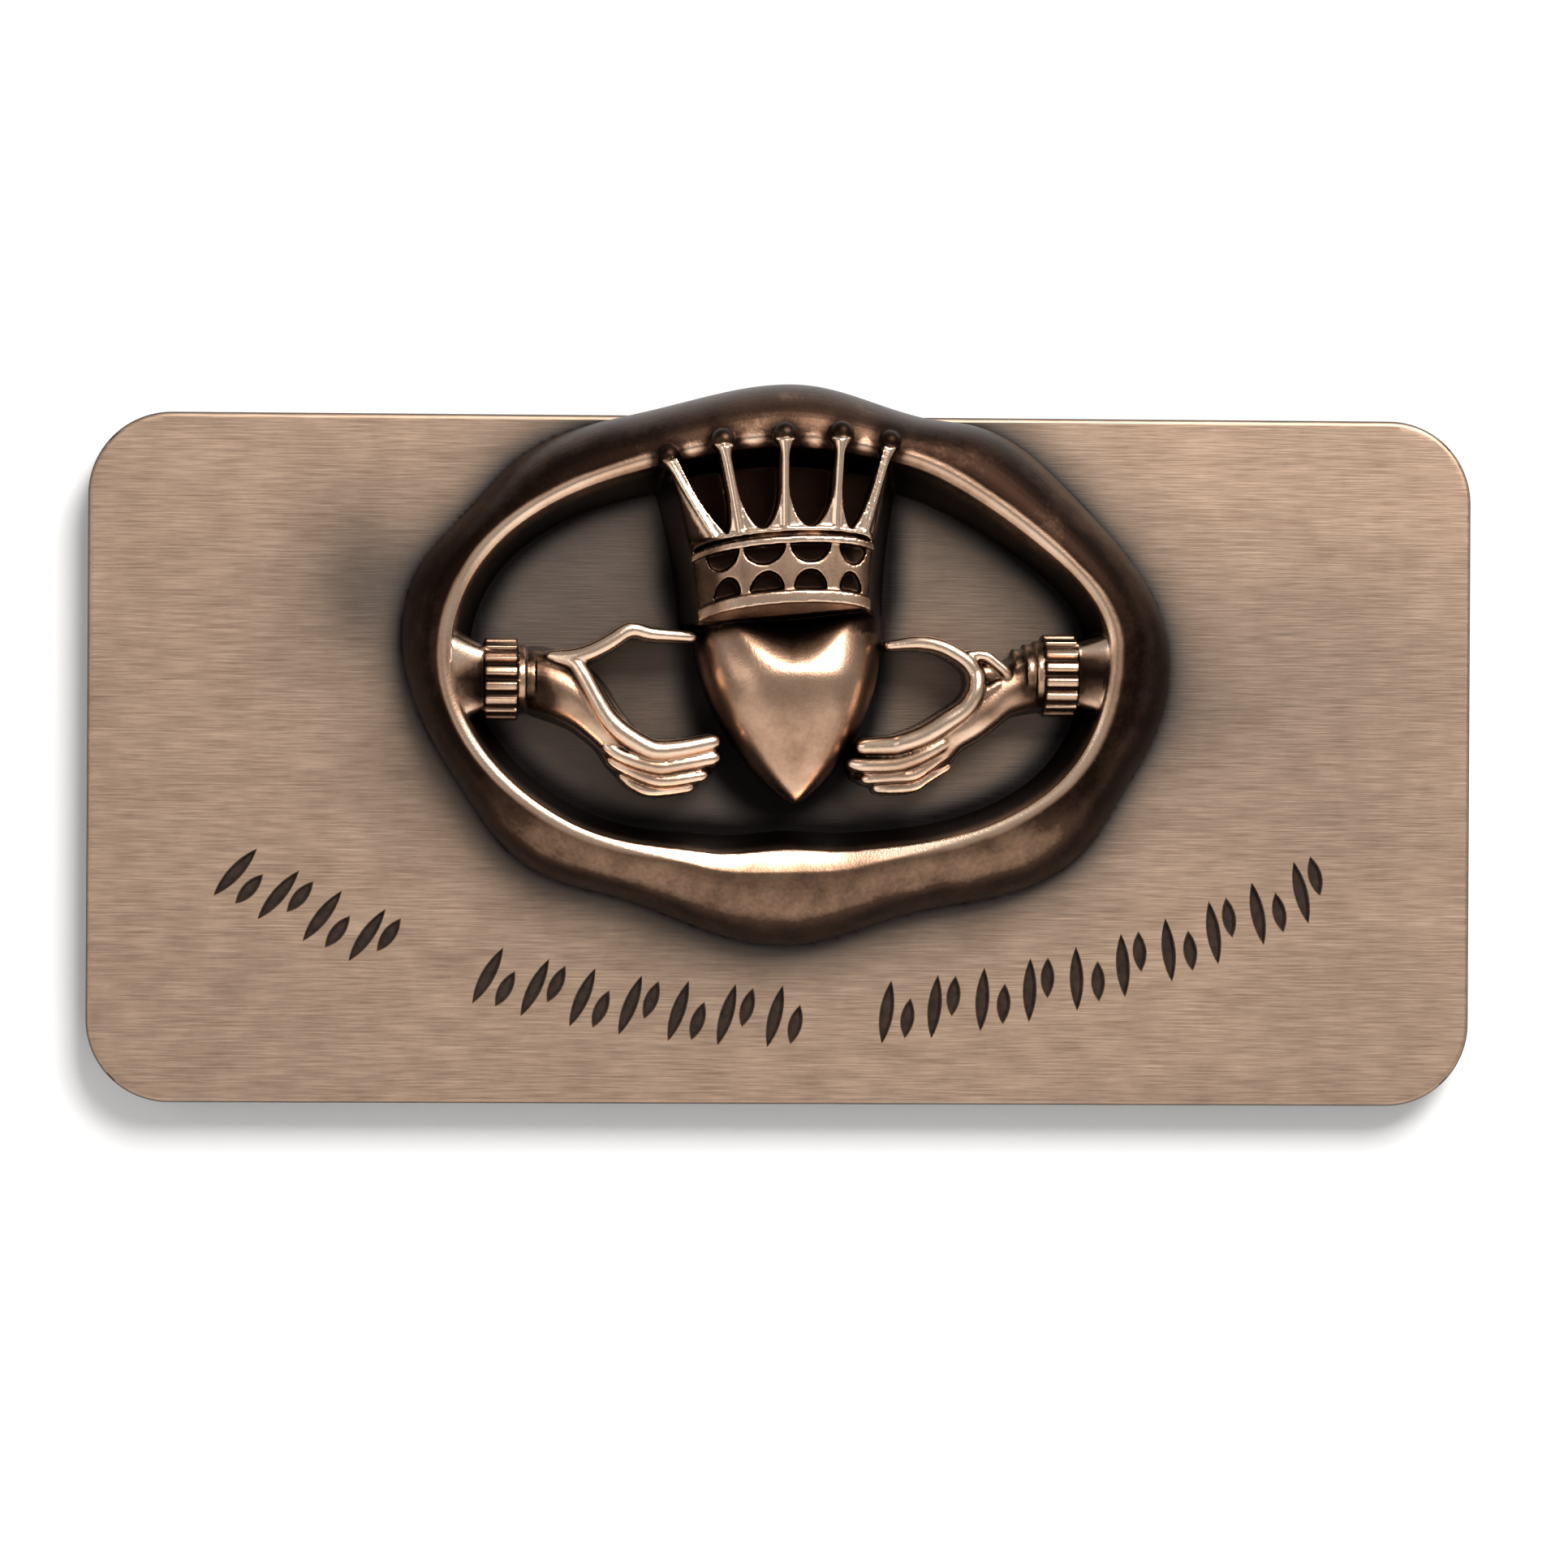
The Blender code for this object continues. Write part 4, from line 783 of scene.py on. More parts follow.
def crown_shaft(number):
    """The round front of one point, which opens into a cup under its ball."""
    rings = []
    for i in range(POINT_STEPS + 1):
        share = i / POINT_STEPS
        cup = max(0.0, (share - 1 + CUP_SHARE) / CUP_SHARE) ** CUP_CURVE
        radius = POINT_HALF_WIDTH + (CUP_RADIUS - POINT_HALF_WIDTH) * cup
        y = POINT_START_Y + (CROWN_TIP_Y - POINT_START_Y) * share
        centre = crown_point(point_turn(number, share), y) - Vector((0, 0, radius))
        ring = []
        for k in range(RIDGE_SEGMENTS):
            turn = 2 * pi * k / RIDGE_SEGMENTS
            ring.append(centre + Vector((radius * cos(turn), 0, radius * sin(turn))))
        rings.append(ring)
    return loft(f"crown_shaft_{number}", rings)


def ball_centre(number):
    tip = crown_point(point_turn(number, 1.0), CROWN_TIP_Y + BALL_LIFT)
    return tip - Vector((0, 0, BALL_SINK))


def crown_ball(number):
    bm = bmesh.new()
    bmesh.ops.create_uvsphere(bm, u_segments=BALL_SEGMENTS, v_segments=BALL_ROWS, radius=BALL_RADIUS)
    bmesh.ops.translate(bm, vec=ball_centre(number), verts=bm.verts)
    return mesh_object(f"crown_ball_{number}", bm)


def make_crown():
    crown = crown_block()
    groove_top = CROWN_GROOVE_Y + GROOVE_WIDTH
    cut(crown, crown_hoop("groove", CROWN_GROOVE_Y, groove_top, GROOVE_DEPTH, CLEARANCE_CUT))
    low_window_y = CROWN_BASE_Y + LOW_HOOP_WIDTH + WINDOW_MARGIN
    high_window_y = CROWN_GROOVE_Y - HIGH_HOOP_WIDTH
    for number, angle in enumerate(WINDOW_TURNS_DEG):
        turn = radians(angle)
        cut(crown, crown_window(f"low_window_{number}", turn, low_window_y, LOW_WINDOW_HALF_WIDTH, True))
        cut(crown, crown_window(f"high_window_{number}", turn, high_window_y, HIGH_WINDOW_HALF_WIDTH, False))
    for number in range(len(POINT_TURNS_DEG) - 1):
        cut(crown, crown_gap(number))
    pieces = [
        crown,
        crown_hoop("low_hoop", CROWN_BASE_Y, CROWN_BASE_Y + LOW_HOOP_WIDTH, HOOP_PROUD, HOOP_PROUD),
        crown_hoop("high_hoop", high_window_y, CROWN_GROOVE_Y, HOOP_PROUD, HOOP_PROUD),
        crown_hoop("lip", groove_top, groove_top + LIP_WIDTH, HOOP_PROUD, 0.0),
    ]
    for number in range(len(POINT_TURNS_DEG)):
        pieces += [crown_shaft(number), crown_ball(number)]
    return pieces


def coordinates(mesh, kind="co"):
    """The vertices' places, or with kind "normal" their normals, as rows of three."""
    flat = np.empty(len(mesh.vertices) * 3, np.float32)
    mesh.vertices.foreach_get(kind, flat)
    return flat.reshape(-1, 3).astype(float)


def blurred(field, radius_mm):
    """A height map blurred with a Gaussian of that radius."""
    rows, columns = field.shape
    fy = np.fft.fftfreq(rows)[:, None]
    fx = np.fft.rfftfreq(columns)[None, :]
    reach = 2 * pi * radius_mm * MM / HEIGHT_PITCH
    return np.fft.irfft2(np.fft.rfft2(field) * np.exp(-0.5 * reach**2 * (fx**2 + fy**2)), s=field.shape)


def height_map(places):
    """The highest vertex in each cell over the relief, 0 where there is none, and the map's corner."""
    corner = places[:, :2].min(0) - HEIGHT_MARGIN
    cells = ((places[:, :2] - corner) / HEIGHT_PITCH).astype(int)
    shape = ((places[:, :2].max(0) + HEIGHT_MARGIN - corner) / HEIGHT_PITCH).astype(int) + 1
    field = np.zeros((shape[1], shape[0]))
    np.maximum.at(field, (cells[:, 1], cells[:, 0]), places[:, 2])
    return field, corner


def sampled(field, corner, places):
    """The map's value at each place, blended between its cells."""
    grid = (places[:, :2] - corner) / HEIGHT_PITCH - 0.5
    base = np.floor(grid).astype(int)
    part = grid - base
    columns = np.clip(base[:, 0], 0, field.shape[1] - 2)
    rows = np.clip(base[:, 1], 0, field.shape[0] - 2)
    low = field[rows, columns] * (1 - part[:, 0]) + field[rows, columns + 1] * part[:, 0]
    high = field[rows + 1, columns] * (1 - part[:, 0]) + field[rows + 1, columns + 1] * part[:, 0]
    return low * (1 - part[:, 1]) + high * part[:, 1]


def eased(low, high, value):
    share = np.clip((value - low) / (high - low), 0, 1)
    return share * share * (3 - 2 * share)


def between(edges, value):
    """1 between the middle two of four edges, eased down to 0 at the outer two."""
    start, full, fading, end = edges
    return eased(start, full, value) * (1 - eased(fading, end, value))


def outline_radius(angles, rx, ry, table):
    """oval() at many directions at once, read from a ring of 720 of them."""
    ring = np.linspace(0, 2 * pi, 721)
    values = np.array([oval(turn, rx, ry, table) for turn in ring])
    return np.interp(np.mod(angles, 2 * pi), ring, values)


def flank_painted_light(places):
    """How far each vertex lies outside the band's crest, and the flank's painted light and shade there."""
    x, y = places[:, 0], places[:, 1]
    angles = np.arctan2(y, x)
    radius = np.hypot(x, y)
    crest = outline_radius(angles, BAND_CREST_RX, BAND_CREST_RY, CREST_SWELLS)
    foot = outline_radius(angles, BAND_FOOT_RX, BAND_FOOT_RY, FOOT_SWELLS)
    share = np.clip((radius - crest) / (foot - crest), 0, 1)
    turn = np.mod(np.degrees(angles), 360)
    lower = between(LOWER_FLANK_SPAN, turn)
    top = between(TOP_FLANK_SPAN, turn)
    streak = FLANK_STREAK_REFLECTION * np.exp(-((share - FLANK_STREAK_PLACE) / FLANK_STREAK_WIDTH) ** 2)
    dark = FLANK_PATINA_AND_SHADE + streak + TOP_FLANK_SHEEN * top * (1 - share)
    bright = LOWER_FLANK_REFLECTION - LOWER_FLANK_FALL * share - FOOT_DARKNESS * eased(FOOT_DARK_FROM, 1.0, share)
    flank = dark * (1 - lower) + bright * lower
    return eased(CREST_EDGE_FROM, CREST_EDGE_TO, radius - crest), flank


def crown_flanks(x, y):
    """The share by which a place lies on the crown but outside its outermost points."""
    shares = [i / CROWN_FLANK_STEPS for i in range(CROWN_FLANK_STEPS + 1)]
    heights = [POINT_START_Y + (CROWN_TIP_Y - POINT_START_Y) * share for share in shares]
    left = [crown_point(point_turn(0, share), height).x for share, height in zip(shares, heights)]
    right = [crown_point(point_turn(-1, share), height).x for share, height in zip(shares, heights)]
    beyond = np.maximum(np.interp(y, heights, left) - x, x - np.interp(y, heights, right))
    upright = (y > POINT_START_Y) & (y < CROWN_TIP_Y - CROWN_FLANK_BELOW_TIP)
    flank = eased(POINT_HALF_WIDTH, CROWN_FLANK_FROM * POINT_HALF_WIDTH, beyond)
    return np.where(upright & (beyond < CROWN_FLANK_REACH), flank, 0)


def heart_share(x, y):
    """1 on the heart's front, eased to 0 at its edges."""
    across = (x - HEART_LEAN / 2) / (HEART_FRONT_SHARE * HEART_HALF_WIDTH)
    up = (y - HEART_FRONT_Y) / HEART_FRONT_HALF_HEIGHT
    return np.exp(-across**4 - up**4)


def darkened(x, y, patches):
    """The darkness that a list of patches adds up to at each place."""
    total = np.zeros(len(x))
    for middle_x, middle_y, half_width, half_height, darkness in patches:
        reach = ((x / MM - middle_x) / half_width) ** 2 + ((y / MM - middle_y) / half_height) ** 2
        total += darkness * np.exp(-reach)
    return total


def cuff_polish(value, places, direction, near_x, centre_y):
    """Bright ribs and dark slits on one cuff, and a dark line at both its ends."""
    along = direction * places[:, 0] - near_x
    across = (places[:, 1] - centre_y) / CUFF_HALF_HEIGHT
    up = np.clip(places[:, 2] / CUFF_RISE, 0, 1) ** (1 / CUFF_ROUNDNESS)
    sunk = (1 - np.hypot(across, up)) * CUFF_HALF_HEIGHT / CUFF_RIB_DEPTH
    ribs = RIB_POLISH - SLIT_DARKNESS * eased(SLIT_FROM, SLIT_TO, sunk)
    ends = between((0, CUFF_END_WIDTH, CUFF_LENGTH - CUFF_END_WIDTH, CUFF_LENGTH), along)
    brightness = CUFF_END_POLISH + (1 - CUFF_END_POLISH) * ends
    on_cuff = (along > -0.1 * MM) & (along < CUFF_LENGTH + 0.1 * MM) & (np.abs(across) < 1.1)
    return np.where(on_cuff, ribs * brightness * eased(-0.1, 0.5, up), value)


def polish_and_light(places, normals, field, corner):
    """The share of bare bronze at each vertex: rubbed bright on what stands proud, dark with patina in the
    recesses, with painted light and shade mixed in.
    """
    height = sampled(field, corner, places) / MM
    fine = height - sampled(blurred(field, FINE_BLUR), corner, places) / MM
    middle = height - sampled(blurred(field, MIDDLE_BLUR), corner, places) / MM
    broad = places[:, 2] / MM - sampled(blurred(field, BROAD_BLUR), corner, places) / MM
    buried = height - places[:, 2] / MM
    value = POLISH_START + POLISH_BY_FINE * fine + POLISH_BY_MIDDLE * middle + POLISH_BY_BROAD * broad
    # Surfaces turned from the viewer and places under a ledge get darker, partly as painted shade
    value += POLISH_AND_SHADE_BY_FACING * (normals[:, 2] - FACING_NEUTRAL) - BURIED_PATINA_AND_SHADE * buried
    x, y = places[:, 0], places[:, 1]
    band = outline_radius(np.arctan2(y, x), BAND_CREST_RX, BAND_CREST_RY, CREST_SWELLS) - np.hypot(x, y)
    within = eased(PATCHES_FROM, PATCHES_TO, band)
    off_middle = np.abs(x - CROWN_X - CROWN_SIDE_SHIFT) / CROWN_BASE_HALF_WIDTH
    side = eased(CROWN_SIDE_FROM, CROWN_SIDE_TO, off_middle)
    hooped = (y > CROWN_BASE_Y - MM) & (y < POINT_START_Y + 0.4 * MM) & (np.abs(x) < CROWN_TIP_HALF_WIDTH)
    value *= np.where(hooped, 1 - CROWN_SIDE_DARKNESS * side, 1)
    # Painted shade on the crown's side flanks
    value *= 1 - CROWN_FLANK_DARKNESS * crown_flanks(x, y)
    value += HEART_POLISH * heart_share(x, y)
    for direction, near_x, centre_y in ((-1, LEFT_CUFF_X, LEFT_CUFF_Y), (1, RIGHT_CUFF_X, RIGHT_CUFF_Y)):
        value = cuff_polish(value, places, direction, near_x, centre_y)
    # Painted shade on the crest's inner side towards the top of the band
    value -= CREST_INNER_DARKNESS * between(CREST_INNER_SPAN, band) * eased(0, CREST_INNER_RISE, y)
    # Dark and pale patches; the pale ones on the heart's left lobe and on the crest between the crown's balls
    # are painted highlights
    value -= darkened(x, y, DARK_AND_PALE_PATCHES) * within
    # The band's flank takes its painted reflections, sheen and shade
    outside, flank = flank_painted_light(places)
    value = value * (1 - outside) + flank * outside - darkened(x, y, CREST_PATCHES)
    for number in range(len(POINT_TURNS_DEG)):
        centre = np.array(ball_centre(number))
        away = np.linalg.norm(places - centre, axis=1)
        skin = 1 - eased(BALL_SKIN_FROM * BALL_RADIUS, BALL_SKIN_TO * BALL_RADIUS, away)
        value *= 1 - BALL_DARKNESS * skin
        beside = np.hypot(x - centre[0], y - centre[1])
        shade = 1 - eased(BALL_RADIUS, BALL_SHADE_REACH * BALL_RADIUS, beside)
        low = places[:, 2] < BAND_RISE + 0.4 * MM
        value *= np.where(low, 1 - BALL_SHADE_DARKNESS * shade, 1)
    return np.clip(value, 0, 1)


def paint(mesh, name, values):
    layer = mesh.attributes.new(name, "FLOAT", "POINT")
    layer.data.foreach_set("value", values.astype(np.float32))


def cast(name, pieces):
    """Fuses overlapping pieces into one softened casting that starts at the plate's face."""
    bm = bmesh.new()
    for piece in pieces:
        bm.from_mesh(piece.data)
        bpy.data.objects.remove(piece, do_unlink=True)
    casting = mesh_object(name, bm)
    skin = casting.modifiers.new("skin", "REMESH")
    skin.mode = "VOXEL"
    skin.voxel_size = CAST_GRAIN
    soften = casting.modifiers.new("soften", "SMOOTH")
    soften.iterations = CAST_SOFTENING
    apply_modifiers(casting)
    field, corner = height_map(coordinates(casting.data))
    bm = bmesh.new()
    bm.from_mesh(casting.data)
    bmesh.ops.triangulate(bm, faces=bm.faces)
    seat = (0, 0, -SEAT_CLEARANCE)
    everything = bm.verts[:] + bm.edges[:] + bm.faces[:]
    bmesh.ops.bisect_plane(bm, geom=everything, plane_co=seat, plane_no=(0, 0, 1), clear_inner=True)
    triangles = len(bm.faces)
    bm.to_mesh(casting.data)
    bm.free()
    thin = casting.modifiers.new("thin", "DECIMATE")
    thin.ratio = CAST_TRIANGLES / triangles
    apply_modifiers(casting)
    places = coordinates(casting.data)
    paint(casting.data, "polish_and_light", polish_and_light(places, coordinates(casting.data, "normal"), field, corner))
    return casting


def close_seat(casting):
    """Caps the casting's open underside with flat faces, which shows where it reaches past the plate."""
    bm = bmesh.new()
    bm.from_mesh(casting.data)
    rim = [edge for edge in bm.edges if edge.is_boundary]
    bmesh.ops.triangle_fill(bm, edges=rim, use_beauty=True, normal=(0, 0, -1))
    bm.to_mesh(casting.data)
    bm.free()


def relief_pieces():
    """Every overlapping piece that the casting is fused from."""
    pieces = [make_band(), make_heart()] + make_crown()
    pieces += make_cuff("left", -1, LEFT_CUFF_X, LEFT_CUFF_Y)
    pieces += make_cuff("right", 1, RIGHT_CUFF_X, RIGHT_CUFF_Y)
    pieces += make_ridges("left_hand", [LEFT_PALM, LEFT_THUMB])
    pieces += make_ridges("left_finger", LEFT_FINGERS, FINGER_FULLNESS)
    pieces += make_ridges("right_hand", [RIGHT_PALM, RIGHT_THUMB] + RIGHT_WEB)
    pieces += make_ridges("right_finger", RIGHT_FINGERS, FINGER_FULLNESS)
    return pieces


def make_relief():
    relief = cast("claddagh_casting", relief_pieces())
    relief.data.transform(Matrix.Translation((RELIEF_X, RELIEF_Y, PLATE_THICKNESS + SEAT_CLEARANCE)))
    relief.data.shade_smooth()
    close_seat(relief)
    stand_up(relief, "claddagh_relief", [relief_material()])


def stand_up(thing, node, materials):
    """Turns a piece from lying flat into the frame, in place of the CAD node, with its materials."""
    thing.data.transform(STAND)
    thing.data.materials.clear()
    for material in materials:
        thing.data.materials.append(material)
    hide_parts(node)
    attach(thing, "root")


def stroke_ring(middle, heading, length, width, height):
    """A pointed lens at one height, as a chisel stroke leaves it."""
    along = Vector((cos(heading), sin(heading), 0))
    across = Vector((-sin(heading), cos(heading), 0))
    ring = []
    for side in (1, -1):
        for i in range(STROKE_SIDES):
            share = side * (i / STROKE_SIDES * 2 - 1)
            bulge = side * width / 2 * (1 - share * share)
            ring.append(middle + along * (share * length / 2) + across * bulge + Vector((0, 0, height)))
    return ring


def stroke_cutter(name, middle, heading, length):
    """A cutter with a small bright chamfer at the face and sides that close in towards the floor."""
    face = PLATE_THICKNESS
    levels = [
        (face + CLEARANCE_CUT, 2 * STROKE_RIM), (face, 2 * STROKE_RIM), (face - STROKE_RIM, 0.0),
        (face - STROKE_DEPTH, -STROKE_WIDTH * (1 - STROKE_FLOOR_SHARE)),
    ]
    rings = []
    for height, wider in levels:
        rings.append(stroke_ring(middle, heading, length + 2 * wider, STROKE_WIDTH + wider, height))
    return loft(name, rings)


def make_strokes():
    """The cutters of the inscription's strokes, along their arc, joined into one."""
    cutters = []
    low_y = INSCRIPTION_ABOVE_FOOT - PLATE_HEIGHT / 2
    arc_centre = Vector((INSCRIPTION_X, low_y + INSCRIPTION_RADIUS, 0))
    for start, count in zip(STROKE_STARTS, STROKE_PLACES):
        for place in range(count):
            turn = (start + place * STROKE_PITCH) / INSCRIPTION_RADIUS
            up = Vector((-sin(turn), cos(turn), 0))
            right = Vector((cos(turn), sin(turn), 0))
            middle = arc_centre - up * INSCRIPTION_RADIUS
            heading = pi / 2 + turn - radians(STROKE_LEAN_DEG)
            stagger = SHORT_STROKE_STAGGER * (1 if place % 2 else -1)
            long_middle = middle - right * STROKE_SPACING / 2
            short_middle = middle + right * STROKE_SPACING / 2 + up * stagger
            for stroke, length in ((long_middle, LONG_STROKE), (short_middle, SHORT_STROKE)):
                cutters.append(stroke_cutter(f"stroke_{len(cutters)}", stroke, heading, length))
    bm = bmesh.new()
    for cutter in cutters:
        bm.from_mesh(cutter.data)
        bpy.data.objects.remove(cutter, do_unlink=True)
    return mesh_object("strokes", bm)


def plate_blank():
    """The plate with its rounded corners and edges, its face cut into a lattice that can carry the patina and
    painted shade.
    """
    bm = bmesh.new()
    bmesh.ops.create_cube(bm, size=1.0)
    bmesh.ops.scale(bm, vec=(PLATE_WIDTH, PLATE_HEIGHT, PLATE_THICKNESS), verts=bm.verts)
    bmesh.ops.translate(bm, vec=(0, 0, PLATE_THICKNESS / 2), verts=bm.verts)
    corners = []
    for edge in bm.edges:
        if abs(edge.verts[0].co.z - edge.verts[1].co.z) > PLATE_THICKNESS / 2:
            corners.append(edge)
    bmesh.ops.bevel(bm, geom=corners, offset=PLATE_CORNER_RADIUS, segments=CORNER_SEGMENTS,
                    profile=0.5, affect="EDGES")
    plate = mesh_object("bronze_plate", bm)
    edge_bevel = plate.modifiers.new("edge_bevel", "BEVEL")
    edge_bevel.width = PLATE_EDGE_BEVEL
    edge_bevel.segments = EDGE_SEGMENTS
    edge_bevel.limit_method = "ANGLE"
    edge_bevel.angle_limit = radians(EDGE_ANGLE_DEG)
    apply_modifiers(plate)
    bm = bmesh.new()
    bm.from_mesh(plate.data)
    for axis, size in ((0, PLATE_WIDTH), (1, PLATE_HEIGHT)):
        count = int(size / PLATE_LATTICE)
        normal = Vector((1, 0, 0)) if axis == 0 else Vector((0, 1, 0))
        for i in range(1, count):
            at = normal * (size * (i / count - 0.5))
            geometry = [f for f in bm.faces if f.normal.z > 0.99]
            edges = {edge for face in geometry for edge in face.edges}
            vertices = {vertex for face in geometry for vertex in face.verts}
            geometry = list(vertices) + list(edges) + geometry
            bmesh.ops.bisect_plane(bm, geom=geometry, dist=WELD, plane_co=at, plane_no=normal)
    bm.to_mesh(plate.data)
    bm.free()
    return plate


def floor_clearness(x, y):
    """How clear the floor inside the band is: dark by its walls, greyer in the middle of each window, and
    paler towards the right as painted light.
    """
    crest = outline_radius(np.arctan2(y, x), BAND_CREST_RX, BAND_CREST_RY, CREST_SWELLS)
    draft = BAND_CREST_WIDTH_ABOVE + BAND_INNER_DRAFT
    wall = crest - draft - np.hypot(x, y)
    heart = np.hypot(x, y * HEART_HALF_WIDTH / -HEART_TIP_Y) - HEART_HALF_WIDTH
    crown = np.abs(x - CROWN_X) - CROWN_TIP_HALF_WIDTH
    crowned = eased(CROWN_BASE_Y - 3 * MM, CROWN_BASE_Y + 3 * MM, y)
    core = crown * crowned + heart * (1 - crowned)
    clear = FLOOR_CLEAR * (1 + FLOOR_CLEAR_RIGHT * eased(0, 10 * MM, x))
    return clear * eased(0, FLOOR_DARK_WIDTH, wall) * eased(0, FLOOR_DARK_WIDTH, core)


def plate_patina_and_shade(places):
    """How dark the plate is at each vertex: inside the band, in a halo round it that is partly painted shade,
    in a few clouds of painted shade, and on its sides as painted shade.
    """
    x, y = places[:, 0] - RELIEF_X, places[:, 1] - RELIEF_Y
    foot_x, foot_y = x - BAND_FOOT_SHIFT_X, y + BAND_FOOT_DROP
    foot = outline_radius(np.arctan2(foot_y, foot_x), BAND_FOOT_RX, BAND_FOOT_RY, FOOT_SWELLS)
    away = np.maximum(np.hypot(foot_x, foot_y) - foot, 0)
    clear = 1 - HALO_DARKNESS * np.exp(-away / HALO_REACH)
    for middle_x, middle_y, half_width, half_height, darkness in CLOUDS:
        across = (places[:, 0] / MM - middle_x) / half_width
        up = (places[:, 1] / MM - middle_y) / half_height
        clear *= 1 - darkness * np.exp(-across**2 - up**2)
    inside = np.hypot(foot_x, foot_y) < foot
    clear = np.where(inside, floor_clearness(x, y), clear)
    # Painted shade on the plate's sides
    side = np.abs(places[:, 2] - PLATE_THICKNESS / 2) < PLATE_THICKNESS / 2 - RIM_DARK_FROM
    return np.where(side, RIM_DARKNESS, 1 - clear)


def make_plate():
    plate = plate_blank()
    cut(plate, make_strokes())
    places = coordinates(plate.data)
    paint(plate.data, "patina_and_shade", plate_patina_and_shade(places))
    carved = PLATE_THICKNESS - STROKE_RIM - WELD
    edge = Vector((PLATE_WIDTH, PLATE_HEIGHT)) / 2
    dark_faces = []
    for face in plate.data.polygons:
        centre = face.center
        inside = abs(centre.x) < edge.x - 2 * MM and abs(centre.y) < edge.y - 2 * MM
        if inside and MM < centre.z < carved:
            dark_faces.append(face.index)
    plate.data.shade_smooth()
    plate.data.set_sharp_from_angle(angle=radians(SHARP_ANGLE_DEG))
    stand_up(plate, "plate", [plate_material(), stroke_material()])
    for index in dark_faces:
        plate.data.polygons[index].material_index = 1


def node(tree, kind, inputs=None, **settings):
    """A new shader node; an input's value may be a number, a colour or another node's socket."""
    made = tree.nodes.new(kind)
    for key, value in settings.items():
        setattr(made, key, value)
    for key, value in (inputs or {}).items():
        if isinstance(value, bpy.types.NodeSocket):
            tree.links.new(value, made.inputs[key])
        else:
            made.inputs[key].default_value = value
    return made


def new_material(name):
    material = bpy.data.materials.new(name)
    material.use_nodes = True
    tree = material.node_tree
    return material, tree, tree.nodes["Principled BSDF"]


def noise(tree, scale, detail=3.0, stretch=(1, 1, 1), roughness=0.5):
    """A noise value over the object's own coordinates: scale is in waves to the metre."""
    coordinates_node = node(tree, "ShaderNodeTexCoord")
    mapping = node(tree, "ShaderNodeMapping", {
        "Vector": coordinates_node.outputs["Object"], "Scale": stretch,
    })
    made = node(tree, "ShaderNodeTexNoise", {
        "Vector": mapping.outputs[0], "Scale": scale, "Detail": detail, "Roughness": roughness,
    })
    return made.outputs["Fac"]


def maths(tree, operation, first, second, clamp=False):
    made = node(tree, "ShaderNodeMath", {0: first, 1: second}, operation=operation, use_clamp=clamp)
    return made.outputs[0]


def ramp(tree, value, stops):
    """Colours or greys eased between the stops, which are (place, colour) pairs."""
    made = node(tree, "ShaderNodeValToRGB", {"Fac": value})
    band = made.color_ramp
    while len(band.elements) < len(stops):
        band.elements.new(1.0)
    for element, (place, color) in zip(band.elements, stops):
        element.position = place
        element.color = color
    return made.outputs["Color"]


def span(tree, value, low, high):
    """The value spread from 0..1 to low..high."""
    made = node(tree, "ShaderNodeMapRange", {"Value": value, "To Min": low, "To Max": high})
    return made.outputs[0]


def relief_material():
    """Dark patina in the recesses, rubbed through to warm bronze on what stands proud, with painted light and
    shade from its attribute.
    """
    material, tree, shader = new_material("relief_bronze")
    brightness = node(tree, "ShaderNodeAttribute", attribute_name="polish_and_light").outputs["Fac"]
    cloudy = span(tree, noise(tree, 420, 4), -0.16, 0.16)
    specks = span(tree, noise(tree, 2600, 2), -0.06, 0.06)
    share = maths(tree, "ADD", maths(tree, "ADD", brightness, cloudy), specks, clamp=True)
    tree.links.new(ramp(tree, share, [
        (0.05, (0.012, 0.006, 0.004, 1)), (0.28, (0.055, 0.030, 0.019, 1)), (0.5, (0.26, 0.155, 0.10, 1)),
        (0.72, (0.52, 0.33, 0.225, 1)), (1.0, (0.74, 0.54, 0.40, 1)),
    ]), shader.inputs["Base Color"])
    shader.inputs["Metallic"].default_value = 1.0
    tree.links.new(span(tree, share, 0.42, 0.24), shader.inputs["Roughness"])
    height = maths(tree, "ADD", noise(tree, 900, 5), noise(tree, 5200, 2))
    bump = node(tree, "ShaderNodeBump", {"Height": height, "Strength": 0.12, "Distance": 0.1 * MM})
    tree.links.new(bump.outputs[0], shader.inputs["Normal"])
    return material


